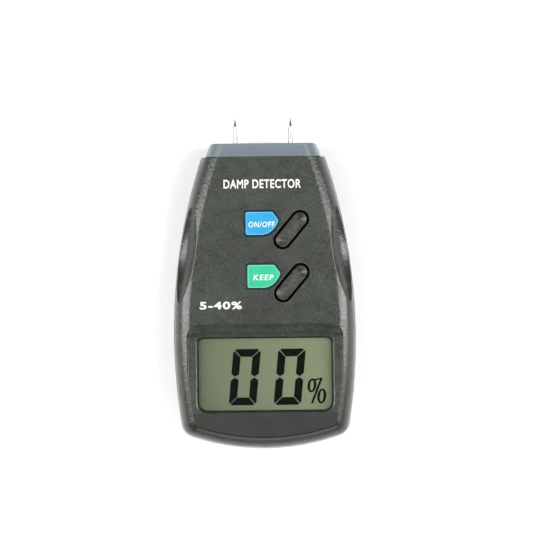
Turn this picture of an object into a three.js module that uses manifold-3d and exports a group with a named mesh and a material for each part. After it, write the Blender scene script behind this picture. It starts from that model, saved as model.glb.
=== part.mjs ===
// Handheld pin-type moisture meter, lying on its back. Millimetres, +Z up.
// +X is the meter's right, +Y points along it to the pins, and +Z comes out of its face.
// Lengths along Y are measured from the case's lower end, and one group at the end of the file
// moves them all so that the origin is under the middle of the whole meter.
import * as THREE from "three";
import { mergeVertices } from "three/addons/utils/BufferGeometryUtils.js";
import Module from "manifold-3d";

const wasm = await Module();
wasm.setup();

// ---------------------------------------------------------------- driving dimensions

// Case
const caseWidth = 70;
const caseLength = 112.1;
const caseDepth = 30;
const partingZ = 15;
const partingGap = 0.3;
const wall = 2;
const upperWidth = 47.5;
const widestY = 43.5;
const lowerEndRadius = 86.6;
const cornerRadius = 5.5;
const shoulderWidth = 6.2;
const shoulderHeight = 7;
const frontDraft = 0.8;
const rearRadius = 3.6;
const rearDraft = 0.6;
const endFaceLean = 0.6;

// Finger scoops in the shoulders
const scoopY = 75;
const scoopReach = 7.4;
const scoopLength = 44;
const scoopDepth = 8;
const scoopOutset = 0.5;

// Display
const windowSideMargin = 9.4;
const windowHeight = 28;
const windowLowerY = 15;
const windowTopCorner = 2.2;
const windowLowerCorner = 3.4;
const windowEdge = 0.5;
const bezelDepth = 1.2;
const bezelInset = 6;
const bezelAboveWindow = 5.7;
const bezelTopCorner = 5;
const windowPadThickness = 1.6;
const lensThickness = 0.8;
const lensBorder = 2.4;
const glassThickness = 0.7;
const glassBorder = 1.6;
const glassLedge = 2.6;
const stackGap = 0.1;
const frameGap = 0.3;
const frameWall = 0.9;
const stripWidth = 2;

// Keys
const keyX = 10.45;
const powerKeyFromUpperEnd = 28.3;
const keyPitch = 20.1;
const keyAngle = 50;
const keyStraight = 10.3;
const keyRadius = 2.95;
const keyGap = 0.5;
const keyProud = 0.8;
const keyTravel = 1.1;
const keyFlange = 1.35;
const keyFlangeThickness = 1.2;
const keyStemInset = 0.35;
const pillRadius = 1.8;
const pillThickness = 0.8;
const matThickness = 1.2;
const matMargin = 2.1;
const skirtWall = 0.55;

// Key labels
const labelLength = 14;
const labelHeight = 10.2;
const labelX = { power: -7.6, hold: -7.1 };
const labelAboveKey = -2.6;
const labelCorner = 1.7;
const labelTip = 0.35;
const labelThickness = 0.6;
const labelProud = 0.25;
const labelGap = 0.12;

// Circuit board
const boardThickness = 1.2;
const boardEdge = 3.1;
const boardCorner = 2;
const boardToCase = 0.6;
const boardPostRadius = 2.4;
const boardPostGap = 0.3;
const upperBoardScrewX = 16.2;

// Electrode block and pins
const blockRise = 4.75;
const blockInset = 1.8;
const blockNeckInset = 3.9;
const blockFlangeInset = 2.6;
const blockFlangeThickness = 2;
const blockEndChamfer = 1.3;
const pinSpacingX = 21.2;
const pinSpacingZ = 10;
const pinRadius = 0.8;
const pinReach = 10.45;
const pinPoint = 3.9;
const pinDepth = 8;
const socketRadius = 2;
const socketLength = 12;
const strapThickness = 0.6;
const strapHalf = 2.2;
const leadRadius = 0.6;
const batteryLeadRadius = 0.7;

// Battery and its bay
const batteryLength = 46;
const batteryWidth = 26.5;
const batteryDepth = 17.5;
const batteryCorner = 2;
const batteryPlay = 0.3;
const terminalHeight = 2.6;
const terminalX = 6.35;
const terminalRadius = { positive: 2.8, negative: 3.6 };
const snapThickness = 3;
const bayWall = 1.2;
const bayLowerY = 4.7;
const bayWire = 4.6;
const bayInnerHalf = 15.4;
const bayCaseGap = 0.4;
const bayRibsY = [18, 42];
const bayRibGap = 0.4;
const leadNotchHalf = 6.5;
const leadNotchHeight = 7;
const doorLedge = 1.3;
const doorThickness = 2.3;
const ledgeThickness = 1.05;
const doorLipZ = 6.8;
const doorClearance = 0.25;
const gripHalf = 8;
const gripLength = 12;
const gripFromEnd = 14;
const gripDepth = 0.6;
const gripBars = 5;
const gripBarPitch = 2;

// Fasteners
const casePostRadius = 3;
const casePostGap = 0.4;
const bossWall = 1.3;
const screwHeadRadius = 2.3;
const screwHeadHeight = 1.7;
const screwShankRadius = 1.25;
const screwSeatZ = 4;
const screwHoleGap = 0.3;
const boardScrewRadius = 1;
const boardHeadRadius = 2;
const boardHeadHeight = 1.1;

// Heights and lengths worked out from them
const taper = (caseWidth - upperWidth) / 2;
const sideRadius = (taper ** 2 + (caseLength - widestY) ** 2) / (2 * taper);
const totalLength = caseLength + blockRise + pinReach;
const blockTopY = caseLength + blockRise;
const endWallY = caseLength - endFaceLean - wall;
const flangeTopY = endWallY - 0.3;
const flangeLowerY = flangeTopY - blockFlangeThickness;
const bezelZ = caseDepth - bezelDepth;
const frontInnerZ = caseDepth - wall;
const lensZ = bezelZ - windowPadThickness - stackGap - lensThickness;
const frontGlassZ = lensZ - 2 * stackGap - glassThickness;
const rearGlassZ = frontGlassZ - stackGap - glassThickness;

const batteryZ = doorThickness + 2 * stackGap;
const batteryMidZ = batteryZ + batteryDepth / 2;
const bayCeilingZ = batteryZ + batteryDepth + stackGap;
const boardZ = bayCeilingZ + bayWall + 3 * stackGap;
const boardTopZ = boardZ + boardThickness;
const underBoard = boardZ - stackGap;

const batteryLowerY = bayLowerY + bayWall + batteryPlay;
const batteryUpperY = batteryLowerY + batteryLength;
const snapY = batteryUpperY + terminalHeight + 3 * stackGap;
const bayUpperY = snapY + snapThickness + bayWire;
const doorHalf = bayInnerHalf - doorLedge - 0.2;
const doorUpperY = bayUpperY - doorLedge - 1.7;

const windowWidth = caseWidth - 2 * windowSideMargin;
const windowY = windowLowerY + windowHeight / 2;
const bezelTopY = windowLowerY + windowHeight + bezelAboveWindow;
const glassHalf = windowWidth / 2 + glassBorder;
const glassUpperY = windowY + windowHeight / 2 + glassBorder;
const glassLowerY = windowY - windowHeight / 2 - glassBorder;
const frameHalf = glassHalf + frameGap + frameWall;
const frameUpperY = glassUpperY + glassLedge + frameGap + frameWall;
const frameLowerY = glassLowerY - frameGap - frameWall;

const keys = {
  power: caseLength - powerKeyFromUpperEnd,
  hold: caseLength - powerKeyFromUpperEnd - keyPitch,
};
const keyAlong = new THREE.Vector2(1, 0).rotateAround(new THREE.Vector2(), THREE.MathUtils.degToRad(keyAngle));
const keyReachX = (keyStraight / 2) * keyAlong.x + keyRadius;
const keyReachY = (keyStraight / 2) * keyAlong.y + keyRadius;
const keyFlangeTopZ = frontInnerZ - 2 * stackGap;
const keyFlangeZ = keyFlangeTopZ - keyFlangeThickness;
const pillZ = boardTopZ + stackGap + keyTravel;
const matZ = boardTopZ + stackGap;
const matUpperY = keys.power + keyReachY + matMargin;

const lowerBoardScrewX = bayInnerHalf + bayWall + boardHeadRadius + 1.2;
const lowerBoardScrew = [lowerBoardScrewX, frameUpperY + boardPostGap + boardPostRadius];
const upperBoardScrew = [upperBoardScrewX, matUpperY + boardPostGap + boardPostRadius];
const boardPosts = [lowerBoardScrew, upperBoardScrew];
const lowerCasePost = [bayInnerHalf + bayWall + 4.4, frameLowerY - casePostGap - casePostRadius];
const bossRadius = screwHeadRadius + screwHoleGap + bossWall;
const upperCasePost = [pinSpacingX / 2 + 6.9, flangeLowerY - casePostGap - bossRadius];
const casePosts = [lowerCasePost, upperCasePost];

// ---------------------------------------------------------------- solids from three.js shapes

// A closed three.js geometry as a manifold-3d solid.
function solid(geometry) {
  const plain = geometry.index ? geometry.toNonIndexed() : geometry.clone();
  plain.deleteAttribute("normal");
  plain.deleteAttribute("uv");
  const merged = mergeVertices(plain, 1e-4);
  return new wasm.Manifold(new wasm.Mesh({
    numProp: 3,
    vertProperties: merged.attributes.position.array,
    triVerts: new Uint32Array(merged.index.array),
  }));
}

function fuse(...solids) {
  return solids.reduce((all, next) => all.add(next));
}

function box(x0, x1, y0, y1, z0, z1) {
  const geometry = new THREE.BoxGeometry(x1 - x0, y1 - y0, z1 - z0);
  return solid(geometry.translate((x0 + x1) / 2, (y0 + y1) / 2, (z0 + z1) / 2));
}

function disc(radius, x, y, z0, z1, segments = 24) {
  const geometry = new THREE.CylinderGeometry(radius, radius, z1 - z0, segments);
  return solid(geometry.rotateX(Math.PI / 2).translate(x, y, (z0 + z1) / 2));
}

// A flat shape in X and Y, raised from z0 to z1.
function prism(shape, z0, z1, curveSegments = 6) {
  const geometry = new THREE.ExtrudeGeometry(shape, {
    depth: z1 - z0,
    bevelEnabled: false,
    curveSegments,
  });
  return solid(geometry.translate(0, 0, z0));
}

// A polygon of [y, z] corners, drawn out along X between two sides.
function sideProfile(corners, x0, x1) {
  const shape = new THREE.Shape(corners.map(([y, z]) => new THREE.Vector2(y, z)));
  const geometry = new THREE.ExtrudeGeometry(shape, { depth: x1 - x0, bevelEnabled: false });
  const turn = new THREE.Matrix4().makeBasis(
    new THREE.Vector3(0, 1, 0),
    new THREE.Vector3(0, 0, 1),
    new THREE.Vector3(1, 0, 0),
  );
  return solid(geometry.applyMatrix4(turn).translate(x0, 0, 0));
}

// Rings of the same number of points, each { z, points }, joined by a skin and closed at both ends.
function loft(rings) {
  const count = rings[0].points.length;
  const position = [];
  const index = [];
  for (const ring of rings) {
    for (const p of ring.points) position.push(p.x, p.y, ring.z);
  }
  for (let level = 0; level < rings.length - 1; level++) {
    for (let i = 0; i < count; i++) {
      const a = level * count + i;
      const b = level * count + ((i + 1) % count);
      index.push(a, b, b + count, a, b + count, a + count);
    }
  }
  const top = (rings.length - 1) * count;
  for (const [a, b, c] of THREE.ShapeUtils.triangulateShape(rings[0].points, [])) {
    index.push(a, c, b);
  }
  for (const [a, b, c] of THREE.ShapeUtils.triangulateShape(rings.at(-1).points, [])) {
    index.push(top + a, top + b, top + c);
  }
  const geometry = new THREE.BufferGeometry();
  geometry.setAttribute("position", new THREE.Float32BufferAttribute(position, 3));
  geometry.setIndex(index);
  return solid(geometry);
}

// A round wire along a smooth curve through the given points.
function wire(radius, points) {
  const curve = new THREE.CatmullRomCurve3(points.map((p) => new THREE.Vector3(...p)));
  const section = new THREE.Shape();
  section.absarc(0, 0, radius, 0, 2 * Math.PI);
  return solid(new THREE.ExtrudeGeometry(section, {
    steps: 10,
    curveSegments: 4,
    bevelEnabled: false,
    extrudePath: curve,
  }));
}

// Both left and right: one solid made at each X sign.
function bothSides(make) {
  return fuse(make(-1), make(1));
}

// ---------------------------------------------------------------- shapes shared by the pieces

function arcPoints(centre, radius, from, to, steps) {
  return Array.from({ length: steps + 1 }, (_, i) => {
    const angle = from + ((to - from) * i) / steps;
    return new THREE.Vector2(
      centre.x + radius * Math.cos(angle),
      centre.y + radius * Math.sin(angle),
    );
  });
}

// The point of two crossing circles that lies lower and to the right.
function circlesMeet(c0, r0, c1, r1) {
  const between = c1.clone().sub(c0);
  const d = between.length();
  const along = (r0 * r0 - r1 * r1 + d * d) / (2 * d);
  const across = Math.sqrt(r0 * r0 - along * along);
  const unit = between.divideScalar(d);
  const middle = c0.clone().addScaledVector(unit, along);
  const side = new THREE.Vector2(unit.y, -unit.x);
  const [a, b] = [1, -1].map((s) => middle.clone().addScaledVector(side, s * across));
  return a.y < b.y ? a : b;
}

// The case seen from the front, moved in by inset: two long side arcs, a lower end arc, and a
// rounded corner between them. It runs on past the upper end, where each piece is cut to length.
function caseOutline(inset) {
  const sideCentre = new THREE.Vector2(caseWidth / 2 - sideRadius, widestY);
  const endCentre = new THREE.Vector2(0, lowerEndRadius);
  const side = sideRadius - inset;
  const end = lowerEndRadius - inset;
  const corner = Math.max(cornerRadius - 0.45 * inset, 1.5);
  const cornerCentre = circlesMeet(sideCentre, side - corner, endCentre, end - corner);
  const fromEnd = cornerCentre.clone().sub(endCentre).angle() - 2 * Math.PI;
  const fromSide = cornerCentre.clone().sub(sideCentre).angle() - 2 * Math.PI;
  const upper = Math.asin((caseLength + 2 * blockRise - widestY) / side);
  const right = [
    ...arcPoints(endCentre, end, -Math.PI / 2, fromEnd, 5),
    ...arcPoints(cornerCentre, corner, fromEnd, fromSide, 4).slice(1),
    ...arcPoints(sideCentre, side, fromSide, upper, 10).slice(1),
  ];
  const left = right.slice(1).reverse().map((p) => new THREE.Vector2(-p.x, p.y));
  return [...right, ...left];
}

// The case's outside, moved in by inset all round: rounded rear edges, slightly drafted sides,
// and a broad shoulder that rises to the flat face.
function caseBody(inset) {
  const rings = [];
  const rearSteps = 3;
  for (let i = 0; i <= rearSteps; i++) {
    const turn = (i / rearSteps) * (Math.PI / 2);
    const across = rearDraft + rearRadius - (rearRadius - inset) * Math.sin(turn);
    const z = rearRadius - (rearRadius - inset) * Math.cos(turn);
    rings.push({ z, points: caseOutline(across) });
  }
  rings.push({ z: partingZ, points: caseOutline(inset) });
  const shoulderSteps = 5;
  for (let i = 0; i <= shoulderSteps; i++) {
    const turn = (i / shoulderSteps) * (Math.PI / 2);
    const across = frontDraft + shoulderWidth - (shoulderWidth - inset) * Math.cos(turn);
    const z = caseDepth - shoulderHeight + (shoulderHeight - inset) * Math.sin(turn);
    rings.push({ z, points: caseOutline(across) });
  }
  return loft(rings);
}

// Keeps what lies below the case's upper end, whose face leans back to front and rear.
function cutToLength(body) {
  const far = caseDepth + 1;
  const lean = endFaceLean * (far - partingZ) / (caseDepth - partingZ);
  const corners = [
    [-1, -1], [caseLength - lean, -1], [caseLength, partingZ], [caseLength - lean, far], [-1, far],
  ];
  return body.intersect(sideProfile(corners, -caseWidth, caseWidth));
}

function slabY(y0, y1) {
  return box(-caseWidth, caseWidth, y0, y1, -1, caseDepth + 1);
}

function slabZ(z0, z1) {
  return box(-caseWidth, caseWidth, -1, totalLength, z0, z1);
}

function roundedRectangle(x0, x1, y0, y1, lower, upper = lower) {
  const shape = new THREE.Shape();
  shape.moveTo(x0 + lower, y0);
  shape.lineTo(x1 - lower, y0);
  shape.absarc(x1 - lower, y0 + lower, lower, -Math.PI / 2, 0);
  shape.lineTo(x1, y1 - upper);
  shape.absarc(x1 - upper, y1 - upper, upper, 0, Math.PI / 2);
  shape.lineTo(x0 + upper, y1);
  shape.absarc(x0 + upper, y1 - upper, upper, Math.PI / 2, Math.PI);
  shape.lineTo(x0, y0 + lower);
  shape.absarc(x0 + lower, y0 + lower, lower, Math.PI, 1.5 * Math.PI);
  return shape;
}

// The display window, grown all round by margin.
function windowShape(margin) {
  return roundedRectangle(
    -windowWidth / 2 - margin, windowWidth / 2 + margin,
    windowY - windowHeight / 2 - margin, windowY + windowHeight / 2 + margin,
    windowLowerCorner + margin, windowTopCorner + margin,
  );
}

// The slanted long slot of a key, as a ring of points round the key at keyY.
function keyOutline(keyY, radius) {
  const angle = keyAlong.angle();
  const reach = keyAlong.clone().multiplyScalar(keyStraight / 2);
  const centre = new THREE.Vector2(keyX, keyY);
  const half = Math.PI / 2;
  return [
    ...arcPoints(centre.clone().add(reach), radius, angle - half, angle + half, 8),
    ...arcPoints(centre.clone().sub(reach), radius, angle + half, angle + 3 * half, 8),
  ];
}

function keyPrism(keyY, radius, z0, z1) {
  return loft([
    { z: z0, points: keyOutline(keyY, radius) },
    { z: z1, points: keyOutline(keyY, radius) },
  ]);
}

// A label is a tag with a blunt point towards its key. Its corners are in from its lower left.
function labelShape(name, margin) {
  const shape = new THREE.Shape();
  const l = labelLength;
  const h = labelHeight;
  const r = labelCorner;
  shape.moveTo(r, 0);
  shape.lineTo(0.48 * l, 0);
  shape.bezierCurveTo(0.7 * l, 0, 0.88 * l, 0.2 * h, l - labelTip, 0.5 * h);
  shape.quadraticCurveTo(l + 0.6 * labelTip, 0.59 * h, l - labelTip, 0.68 * h);
  shape.lineTo(0.85 * l, 0.93 * h);
  shape.quadraticCurveTo(0.81 * l, h, 0.74 * l, h);
  shape.lineTo(r, h);
  shape.quadraticCurveTo(0, h, 0, h - r);
  shape.lineTo(0, r);
  shape.quadraticCurveTo(0, 0, r, 0);
  const middle = new THREE.Vector2(l / 2, h / 2);
  const grow = new THREE.Vector2(1 + (2 * margin) / l, 1 + (2 * margin) / h);
  const points = shape.getPoints(4).slice(0, -1);
  return new THREE.Shape(points.map((p) => p.sub(middle).multiply(grow).add(middle).add(
    new THREE.Vector2(labelX[name], keys[name] + labelAboveKey),
  )));
}

// The four positions of a fastener that stands at [x, y] and is mirrored left to right.
function fourPlaces(pairs) {
  return pairs.flatMap(([x, y]) => [[-x, y], [x, y]]);
}

// ---------------------------------------------------------------- front shell

// A long hollow for the fingers, as an ellipsoid that lies along the shoulder. Grown by margin,
// it keeps the wall behind the hollow whole.
function scoop(sign, margin) {
  const geometry = new THREE.SphereGeometry(1, 16, 10);
  geometry.scale(scoopReach + margin, scoopLength / 2 + margin, scoopDepth + margin);
  const rise = scoopY - widestY;
  const halfWidth = caseWidth / 2 - sideRadius + Math.sqrt(sideRadius ** 2 - rise ** 2);
  geometry.rotateZ(sign * Math.asin(rise / sideRadius));
  return solid(geometry.translate(sign * (halfWidth + scoopOutset), scoopY, caseDepth));
}

function rayHit(outline, centre, angle) {
  const far = new THREE.Vector2(Math.cos(angle), Math.sin(angle));
  let best = 0;
  outline.forEach((a, i) => {
    const b = outline[(i + 1) % outline.length];
    const edge = b.clone().sub(a);
    const from = a.clone().sub(centre);
    const cross = far.x * edge.y - far.y * edge.x;
    const t = (from.x * edge.y - from.y * edge.x) / cross;
    const s = (from.x * far.y - from.y * far.x) / cross;
    if (s >= 0 && s <= 1 && t > best) best = t;
  });
  return centre.clone().addScaledVector(far, best);
}

// The sunken frame round the window: a ruled slope from its outer crease to the window's edge.
function bezelCut() {
  const margin = 0.02;
  const outer = caseOutline(bezelInset);
  const half = Math.max(...outer.map((p) => p.x));
  const top = roundedRectangle(-half, half, 0, bezelTopY, 1, bezelTopCorner).getPoints(5).slice(0, -1);
  const inner = windowShape(windowEdge).getPoints(5).slice(0, -1);
  const centre = new THREE.Vector2(0, windowY);
  const turns = [...inner, ...outer.filter((p) => p.y < windowY), ...top.filter((p) => p.y > windowY)]
    .map((p) => p.clone().sub(centre).angle())
    .sort((a, b) => a - b)
    .filter((angle, i, all) => i === 0 || angle - all[i - 1] > 0.01);
  const ring = (outline, z) => ({ z, points: turns.map((angle) => rayHit(outline, centre, angle)) });
  const crease = turns.map((angle) => {
    const hits = [outer, top].map((outline) => rayHit(outline, centre, angle));
    return hits.sort((a, b) => a.distanceTo(centre) - b.distanceTo(centre))[0];
  });
  return loft([
    ring(inner, bezelZ - margin),
    { z: caseDepth, points: crease },
    { z: caseDepth + 1, points: crease },
  ]);
}

// The through-cut for the window, with a small bevel round its upper edge.
function windowCut() {
  const ring = (margin, z) => ({ z, points: windowShape(margin).getPoints(5).slice(0, -1) });
  return loft([
    ring(0, lensZ), ring(0, bezelZ - windowEdge), ring(windowEdge, bezelZ), ring(windowEdge, caseDepth),
  ]);
}

function keySlot(keyY) {
  const edge = 0.3;
  const radius = keyRadius + keyGap;
  return loft([
    { z: frontInnerZ - 1, points: keyOutline(keyY, radius) },
    { z: caseDepth - edge, points: keyOutline(keyY, radius) },
    { z: caseDepth + 0.1, points: keyOutline(keyY, radius + edge + 0.1) },
  ]);
}

function frontShell() {
  const skin = cutToLength(caseBody(0)).intersect(slabZ(partingZ + partingGap / 2, caseDepth + 1));
  const hollow = caseBody(wall).intersect(slabY(0, endWallY));
  const outside = skin.subtract(bothSides((s) => scoop(s, 0)));
  const inside = hollow.subtract(bothSides((s) => scoop(s, wall)));
  const fill = caseBody(wall / 2);
  const padZ = bezelZ - windowPadThickness;
  const pad = fill.intersect(box(-caseWidth, caseWidth, 0, bezelTopY + 1, padZ, bezelZ + 0.6));
  const posts = [
    ...fourPlaces(casePosts).map(([x, y]) =>
      disc(casePostRadius, x, y, partingZ + partingGap, frontInnerZ + 0.5)),
    ...fourPlaces(boardPosts).map(([x, y]) =>
      disc(boardPostRadius, x, y, boardTopZ + stackGap, frontInnerZ + 0.5)),
  ].map((post) => post.intersect(fill));
  const holes = [
    ...fourPlaces(casePosts).map(([x, y]) =>
      disc(screwShankRadius + screwHoleGap, x, y, partingZ, frontInnerZ - 3, 16)),
    ...fourPlaces(boardPosts).map(([x, y]) =>
      disc(boardScrewRadius + screwHoleGap, x, y, boardZ, frontInnerZ - 0.8, 16)),
  ];
  const labelSeats = Object.keys(keys).map((name) =>
    prism(labelShape(name, labelGap), caseDepth + labelProud - labelThickness - 0.05, caseDepth + 1));
  const neck = caseBody(blockNeckInset - screwHoleGap).intersect(slabY(endWallY - 1, caseLength + 1));
  const slots = Object.values(keys).map(keySlot);
  const lensPocket = prism(lensShape(0.2), lensZ - 0.2, padZ);
  return fuse(outside.subtract(inside), pad, ...posts)
    .subtract(fuse(...holes, ...labelSeats, ...slots, lensPocket, neck, windowCut(), bezelCut()));
}

// ---------------------------------------------------------------- rear shell and battery door

// The door's way through the rear wall: narrow outside, wider inside, and open at the lower end.
function doorWay(gap, z0) {
  const lip = box(-doorHalf - doorLedge + gap, doorHalf + doorLedge - gap, -1, wall + 1,
    ledgeThickness + gap, doorLipZ - gap);
  return fuse(
    box(-doorHalf + gap, doorHalf - gap, -1, doorUpperY - gap, z0, ledgeThickness + 2 * gap),
    box(-doorHalf - doorLedge + gap, doorHalf + doorLedge - gap, -1, doorUpperY + doorLedge - gap,
      ledgeThickness + gap, doorThickness + (gap > 0 ? 0 : 0.1)),
    lip,
  );
}

function batteryBay() {
  const outerHalf = bayInnerHalf + bayWall;
  const shell = box(-outerHalf, outerHalf, bayLowerY, bayUpperY + bayWall, wall - 0.4, bayCeilingZ + bayWall)
    .intersect(caseBody(wall + bayCaseGap).add(slabZ(-1, partingZ - 1)));
  const inner = box(-bayInnerHalf, bayInnerHalf, bayLowerY + bayWall, bayUpperY, -1, bayCeilingZ);
  const ribs = bayRibsY.map((y) => bothSides((s) => {
    const x = s * (batteryWidth / 2 + bayRibGap);
    const edge = s * (bayInnerHalf + 0.2);
    return box(Math.min(x, edge), Math.max(x, edge), y, y + bayWall, batteryZ + 0.6, bayCeilingZ + 0.2);
  }));
  const leadNotch = box(-leadNotchHalf, leadNotchHalf, bayUpperY - 1, bayUpperY + bayWall + 1,
    batteryMidZ, batteryMidZ + leadNotchHeight);
  return { walls: fuse(shell.subtract(inner), ...ribs), inner, leadNotch };
}

function rearShell() {
  const skin = cutToLength(caseBody(0)).intersect(slabZ(-1, partingZ - partingGap / 2));
  const inside = caseBody(wall).intersect(slabY(0, endWallY));
  const ring = (outer, inner, z0, z1) =>
    prism(new THREE.Shape(caseOutline(outer)), z0, z1)
      .subtract(prism(new THREE.Shape(caseOutline(inner)), z0 - 1, z1 + 1));
  const lipInset = wall + 0.5;
  const lip = fuse(
    ring(lipInset, lipInset + 1, partingZ - 3, partingZ + 1.6),
    ring(wall - 0.5, lipInset + 1, partingZ - 3, partingZ - 1.2),
  ).intersect(slabY(0, endWallY - blockFlangeThickness - 1.4)).subtract(fuse(
    ...fourPlaces(casePosts).map(([x, y]) => disc(casePostRadius + casePostGap, x, y, partingZ, partingZ + 3)),
  ));
  const posts = fourPlaces(casePosts).map(([x, y]) => fuse(
    disc(casePostRadius, x, y, wall - 0.5, partingZ),
    disc(bossRadius, x, y, wall - 0.5, screwSeatZ + 1.6),
  ));
  const holes = fourPlaces(casePosts).map(([x, y]) => fuse(
    disc(screwShankRadius + screwHoleGap, x, y, -1, partingZ + 1, 16),
    disc(screwHeadRadius + screwHoleGap, x, y, -1, screwSeatZ),
  ));
  const bay = batteryBay();
  const neck = caseBody(blockNeckInset - screwHoleGap).intersect(slabY(endWallY - 1, caseLength + 1));
  const shell = skin.subtract(inside).add(lip).subtract(bay.inner.intersect(slabZ(wall, caseDepth)));
  return fuse(shell, bay.walls, ...posts.map((p) => p.intersect(caseBody(0.5))))
    .subtract(fuse(...holes, doorWay(0, -1), bay.leadNotch, neck));
}

// Five raised bars in a shallow dish, where a thumb pushes the door off.
function doorGrip() {
  const y0 = doorUpperY - gripFromEnd;
  const margin = 1.5;
  const bars = Array.from({ length: gripBars }, (_, i) => {
    const y = y0 + margin + gripBarPitch * (i + 0.05);
    return box(margin - gripHalf, gripHalf - margin, y, y + 0.4 * gripBarPitch, 0.15, gripDepth + 0.1);
  });
  const dish = roundedRectangle(-gripHalf, gripHalf, y0, y0 + gripLength, 2);
  return prism(dish, -1, gripDepth).subtract(fuse(...bars));
}

function batteryDoor() {
  const lipInside = caseBody(wall).intersect(slabZ(doorThickness, caseDepth));
  return caseBody(0).intersect(doorWay(doorClearance, -1)).subtract(lipInside).subtract(doorGrip())
    .intersect(slabZ(-1, doorLipZ - doorClearance));
}

// ---------------------------------------------------------------- electrode block and pins

const pinPlaces = [
  { name: "front_left", x: -1, z: 1 }, { name: "front_right", x: 1, z: 1 },
  { name: "rear_left", x: -1, z: -1 }, { name: "rear_right", x: 1, z: -1 },
].map(({ name, x, z }) => ({ name, x: (x * pinSpacingX) / 2, z: partingZ + (z * pinSpacingZ) / 2 }));

// A solid turned round an axis along Y that passes through x and z.
function turnedAlongY(profile, { x, z }, segments = 20) {
  const points = profile.map(([r, y]) => new THREE.Vector2(r, y));
  return solid(new THREE.LatheGeometry(points, segments).translate(x, 0, z));
}

function electrodeBlock() {
  const gap = 0.25;
  const rear = blockInset;
  const front = caseDepth - blockInset;
  const lowY = caseLength - endFaceLean * (front - partingZ) / (caseDepth - partingZ) + gap;
  const head = caseBody(blockInset).intersect(sideProfile([
    [lowY, rear - 1], [caseLength + gap, partingZ], [lowY, front + 1], [lowY + 0.1, front + 1],
    [blockTopY, front - blockEndChamfer], [blockTopY, rear + blockEndChamfer], [lowY + 0.1, rear - 1],
  ], -caseWidth, caseWidth));
  const neck = caseBody(blockNeckInset).intersect(slabY(endWallY - 0.5, caseLength + 1));
  const flange = caseBody(blockFlangeInset).intersect(slabY(flangeLowerY, flangeTopY));
  const rootHalf = [pinSpacingX / 2 + socketRadius + 1.6, pinSpacingZ / 2 + socketRadius + 2];
  const root = box(-rootHalf[0], rootHalf[0], blockTopY - socketLength, endWallY,
    partingZ - rootHalf[1], partingZ + rootHalf[1]);
  const bore = socketRadius + 0.1;
  const boreLowerY = blockTopY - 2 * socketLength;
  const bores = pinPlaces.map((place) =>
    turnedAlongY([[0, boreLowerY], [bore, boreLowerY], [bore, totalLength], [0, totalLength]], place));
  return fuse(head, neck, flange, root).subtract(fuse(...bores));
}

function pin(place) {
  const tipY = totalLength;
  const rootY = blockTopY - pinDepth;
  return turnedAlongY([
    [0, rootY], [pinRadius, rootY], [pinRadius, tipY - pinPoint], [0.72 * pinRadius, tipY - 0.66 * pinPoint],
    [0, tipY],
  ], place, 16);
}

function pinSocket(place) {
  const topY = blockTopY - 0.15;
  const bore = pinRadius + 0.12;
  return turnedAlongY([
    [0, topY - socketLength], [socketRadius, topY - socketLength], [socketRadius, topY],
    [bore, topY], [bore, blockTopY - pinDepth - 0.3], [0, blockTopY - pinDepth - 0.3],
  ], place, 20);
}

function electrodeStrap(sign) {
  const x = (sign * pinSpacingX) / 2;
  const y1 = blockTopY - 0.15 - socketLength - 0.15;
  const half = pinSpacingZ / 2 + 2.4;
  return box(x - strapHalf, x + strapHalf, y1 - strapThickness, y1, partingZ - half, partingZ + half);
}

function electrodeLead(sign) {
  const x = (sign * pinSpacingX) / 2;
  const startY = blockTopY - 0.3 - socketLength - strapThickness - 0.6;
  return wire(leadRadius, [
    [x, startY, partingZ], [x, startY - 3, partingZ + 0.4], [x - sign * 0.8, startY - 6, partingZ + 3],
    [x - sign * 1.4, startY - 8, boardZ - 2], [x - sign * 1.4, startY - 8.6, boardZ - 0.3],
  ]);
}

// ---------------------------------------------------------------- display

function lensShape(margin) {
  const half = windowWidth / 2 + lensBorder + margin;
  const reach = windowHeight / 2 + lensBorder + margin;
  return roundedRectangle(-half, half, windowY - reach, windowY + reach, 1.5 + margin);
}

function displayWindow() {
  return prism(lensShape(0), lensZ, lensZ + lensThickness);
}

// The upper glass stops short of the lower one, whose bare ledge carries the contacts.
function frontGlass() {
  const z = frontGlassZ;
  return box(-glassHalf, glassHalf, glassLowerY, glassUpperY, z, z + glassThickness);
}

function rearGlass() {
  const z = rearGlassZ;
  return box(-glassHalf, glassHalf, glassLowerY, glassUpperY + glassLedge, z, z + glassThickness);
}

function zebraStrip() {
  const y = glassUpperY + glassLedge - 0.3;
  return box(-glassHalf + 2, glassHalf - 2, y - stripWidth, y, boardTopZ + stackGap, rearGlassZ - stackGap);
}

function displayFrame() {
  const outer = box(-frameHalf, frameHalf, frameLowerY, frameUpperY,
    boardTopZ + stackGap, frontGlassZ + 0.2);
  const half = frameHalf - frameWall;
  const seat = box(-half, half, frameLowerY + frameWall, frameUpperY - frameWall,
    rearGlassZ - stackGap, caseDepth);
  const ledge = frameWall + 1.6;
  const well = box(ledge - frameHalf, frameHalf - ledge, frameLowerY + ledge, frameUpperY - frameWall - stackGap,
    boardZ, caseDepth);
  return outer.subtract(fuse(seat, well));
}

// ---------------------------------------------------------------- keys, mat and labels

function key(keyY) {
  const crown = [[0, 0], [0.05, 0.35], [0.22, 0.6], [0.52, 0.74], [0.8, 0.8]];
  const baseZ = caseDepth + keyProud - 0.8;
  const rings = crown.map(([inShare, up]) => ({
    z: baseZ + up,
    points: keyOutline(keyY, keyRadius * (1 - inShare)),
  }));
  const cap = loft([{ z: keyFlangeTopZ - 0.2, points: keyOutline(keyY, keyRadius) }, ...rings]);
  const flange = keyPrism(keyY, keyRadius + keyFlange, keyFlangeZ, keyFlangeTopZ);
  const stem = keyPrism(keyY, keyRadius - keyStemInset, pillZ + pillThickness + stackGap, keyFlangeZ + 0.2);
  return fuse(cap, flange, stem);
}

function keyPill(keyY) {
  return keyPrism(keyY, pillRadius, pillZ, pillZ + pillThickness);
}

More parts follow.
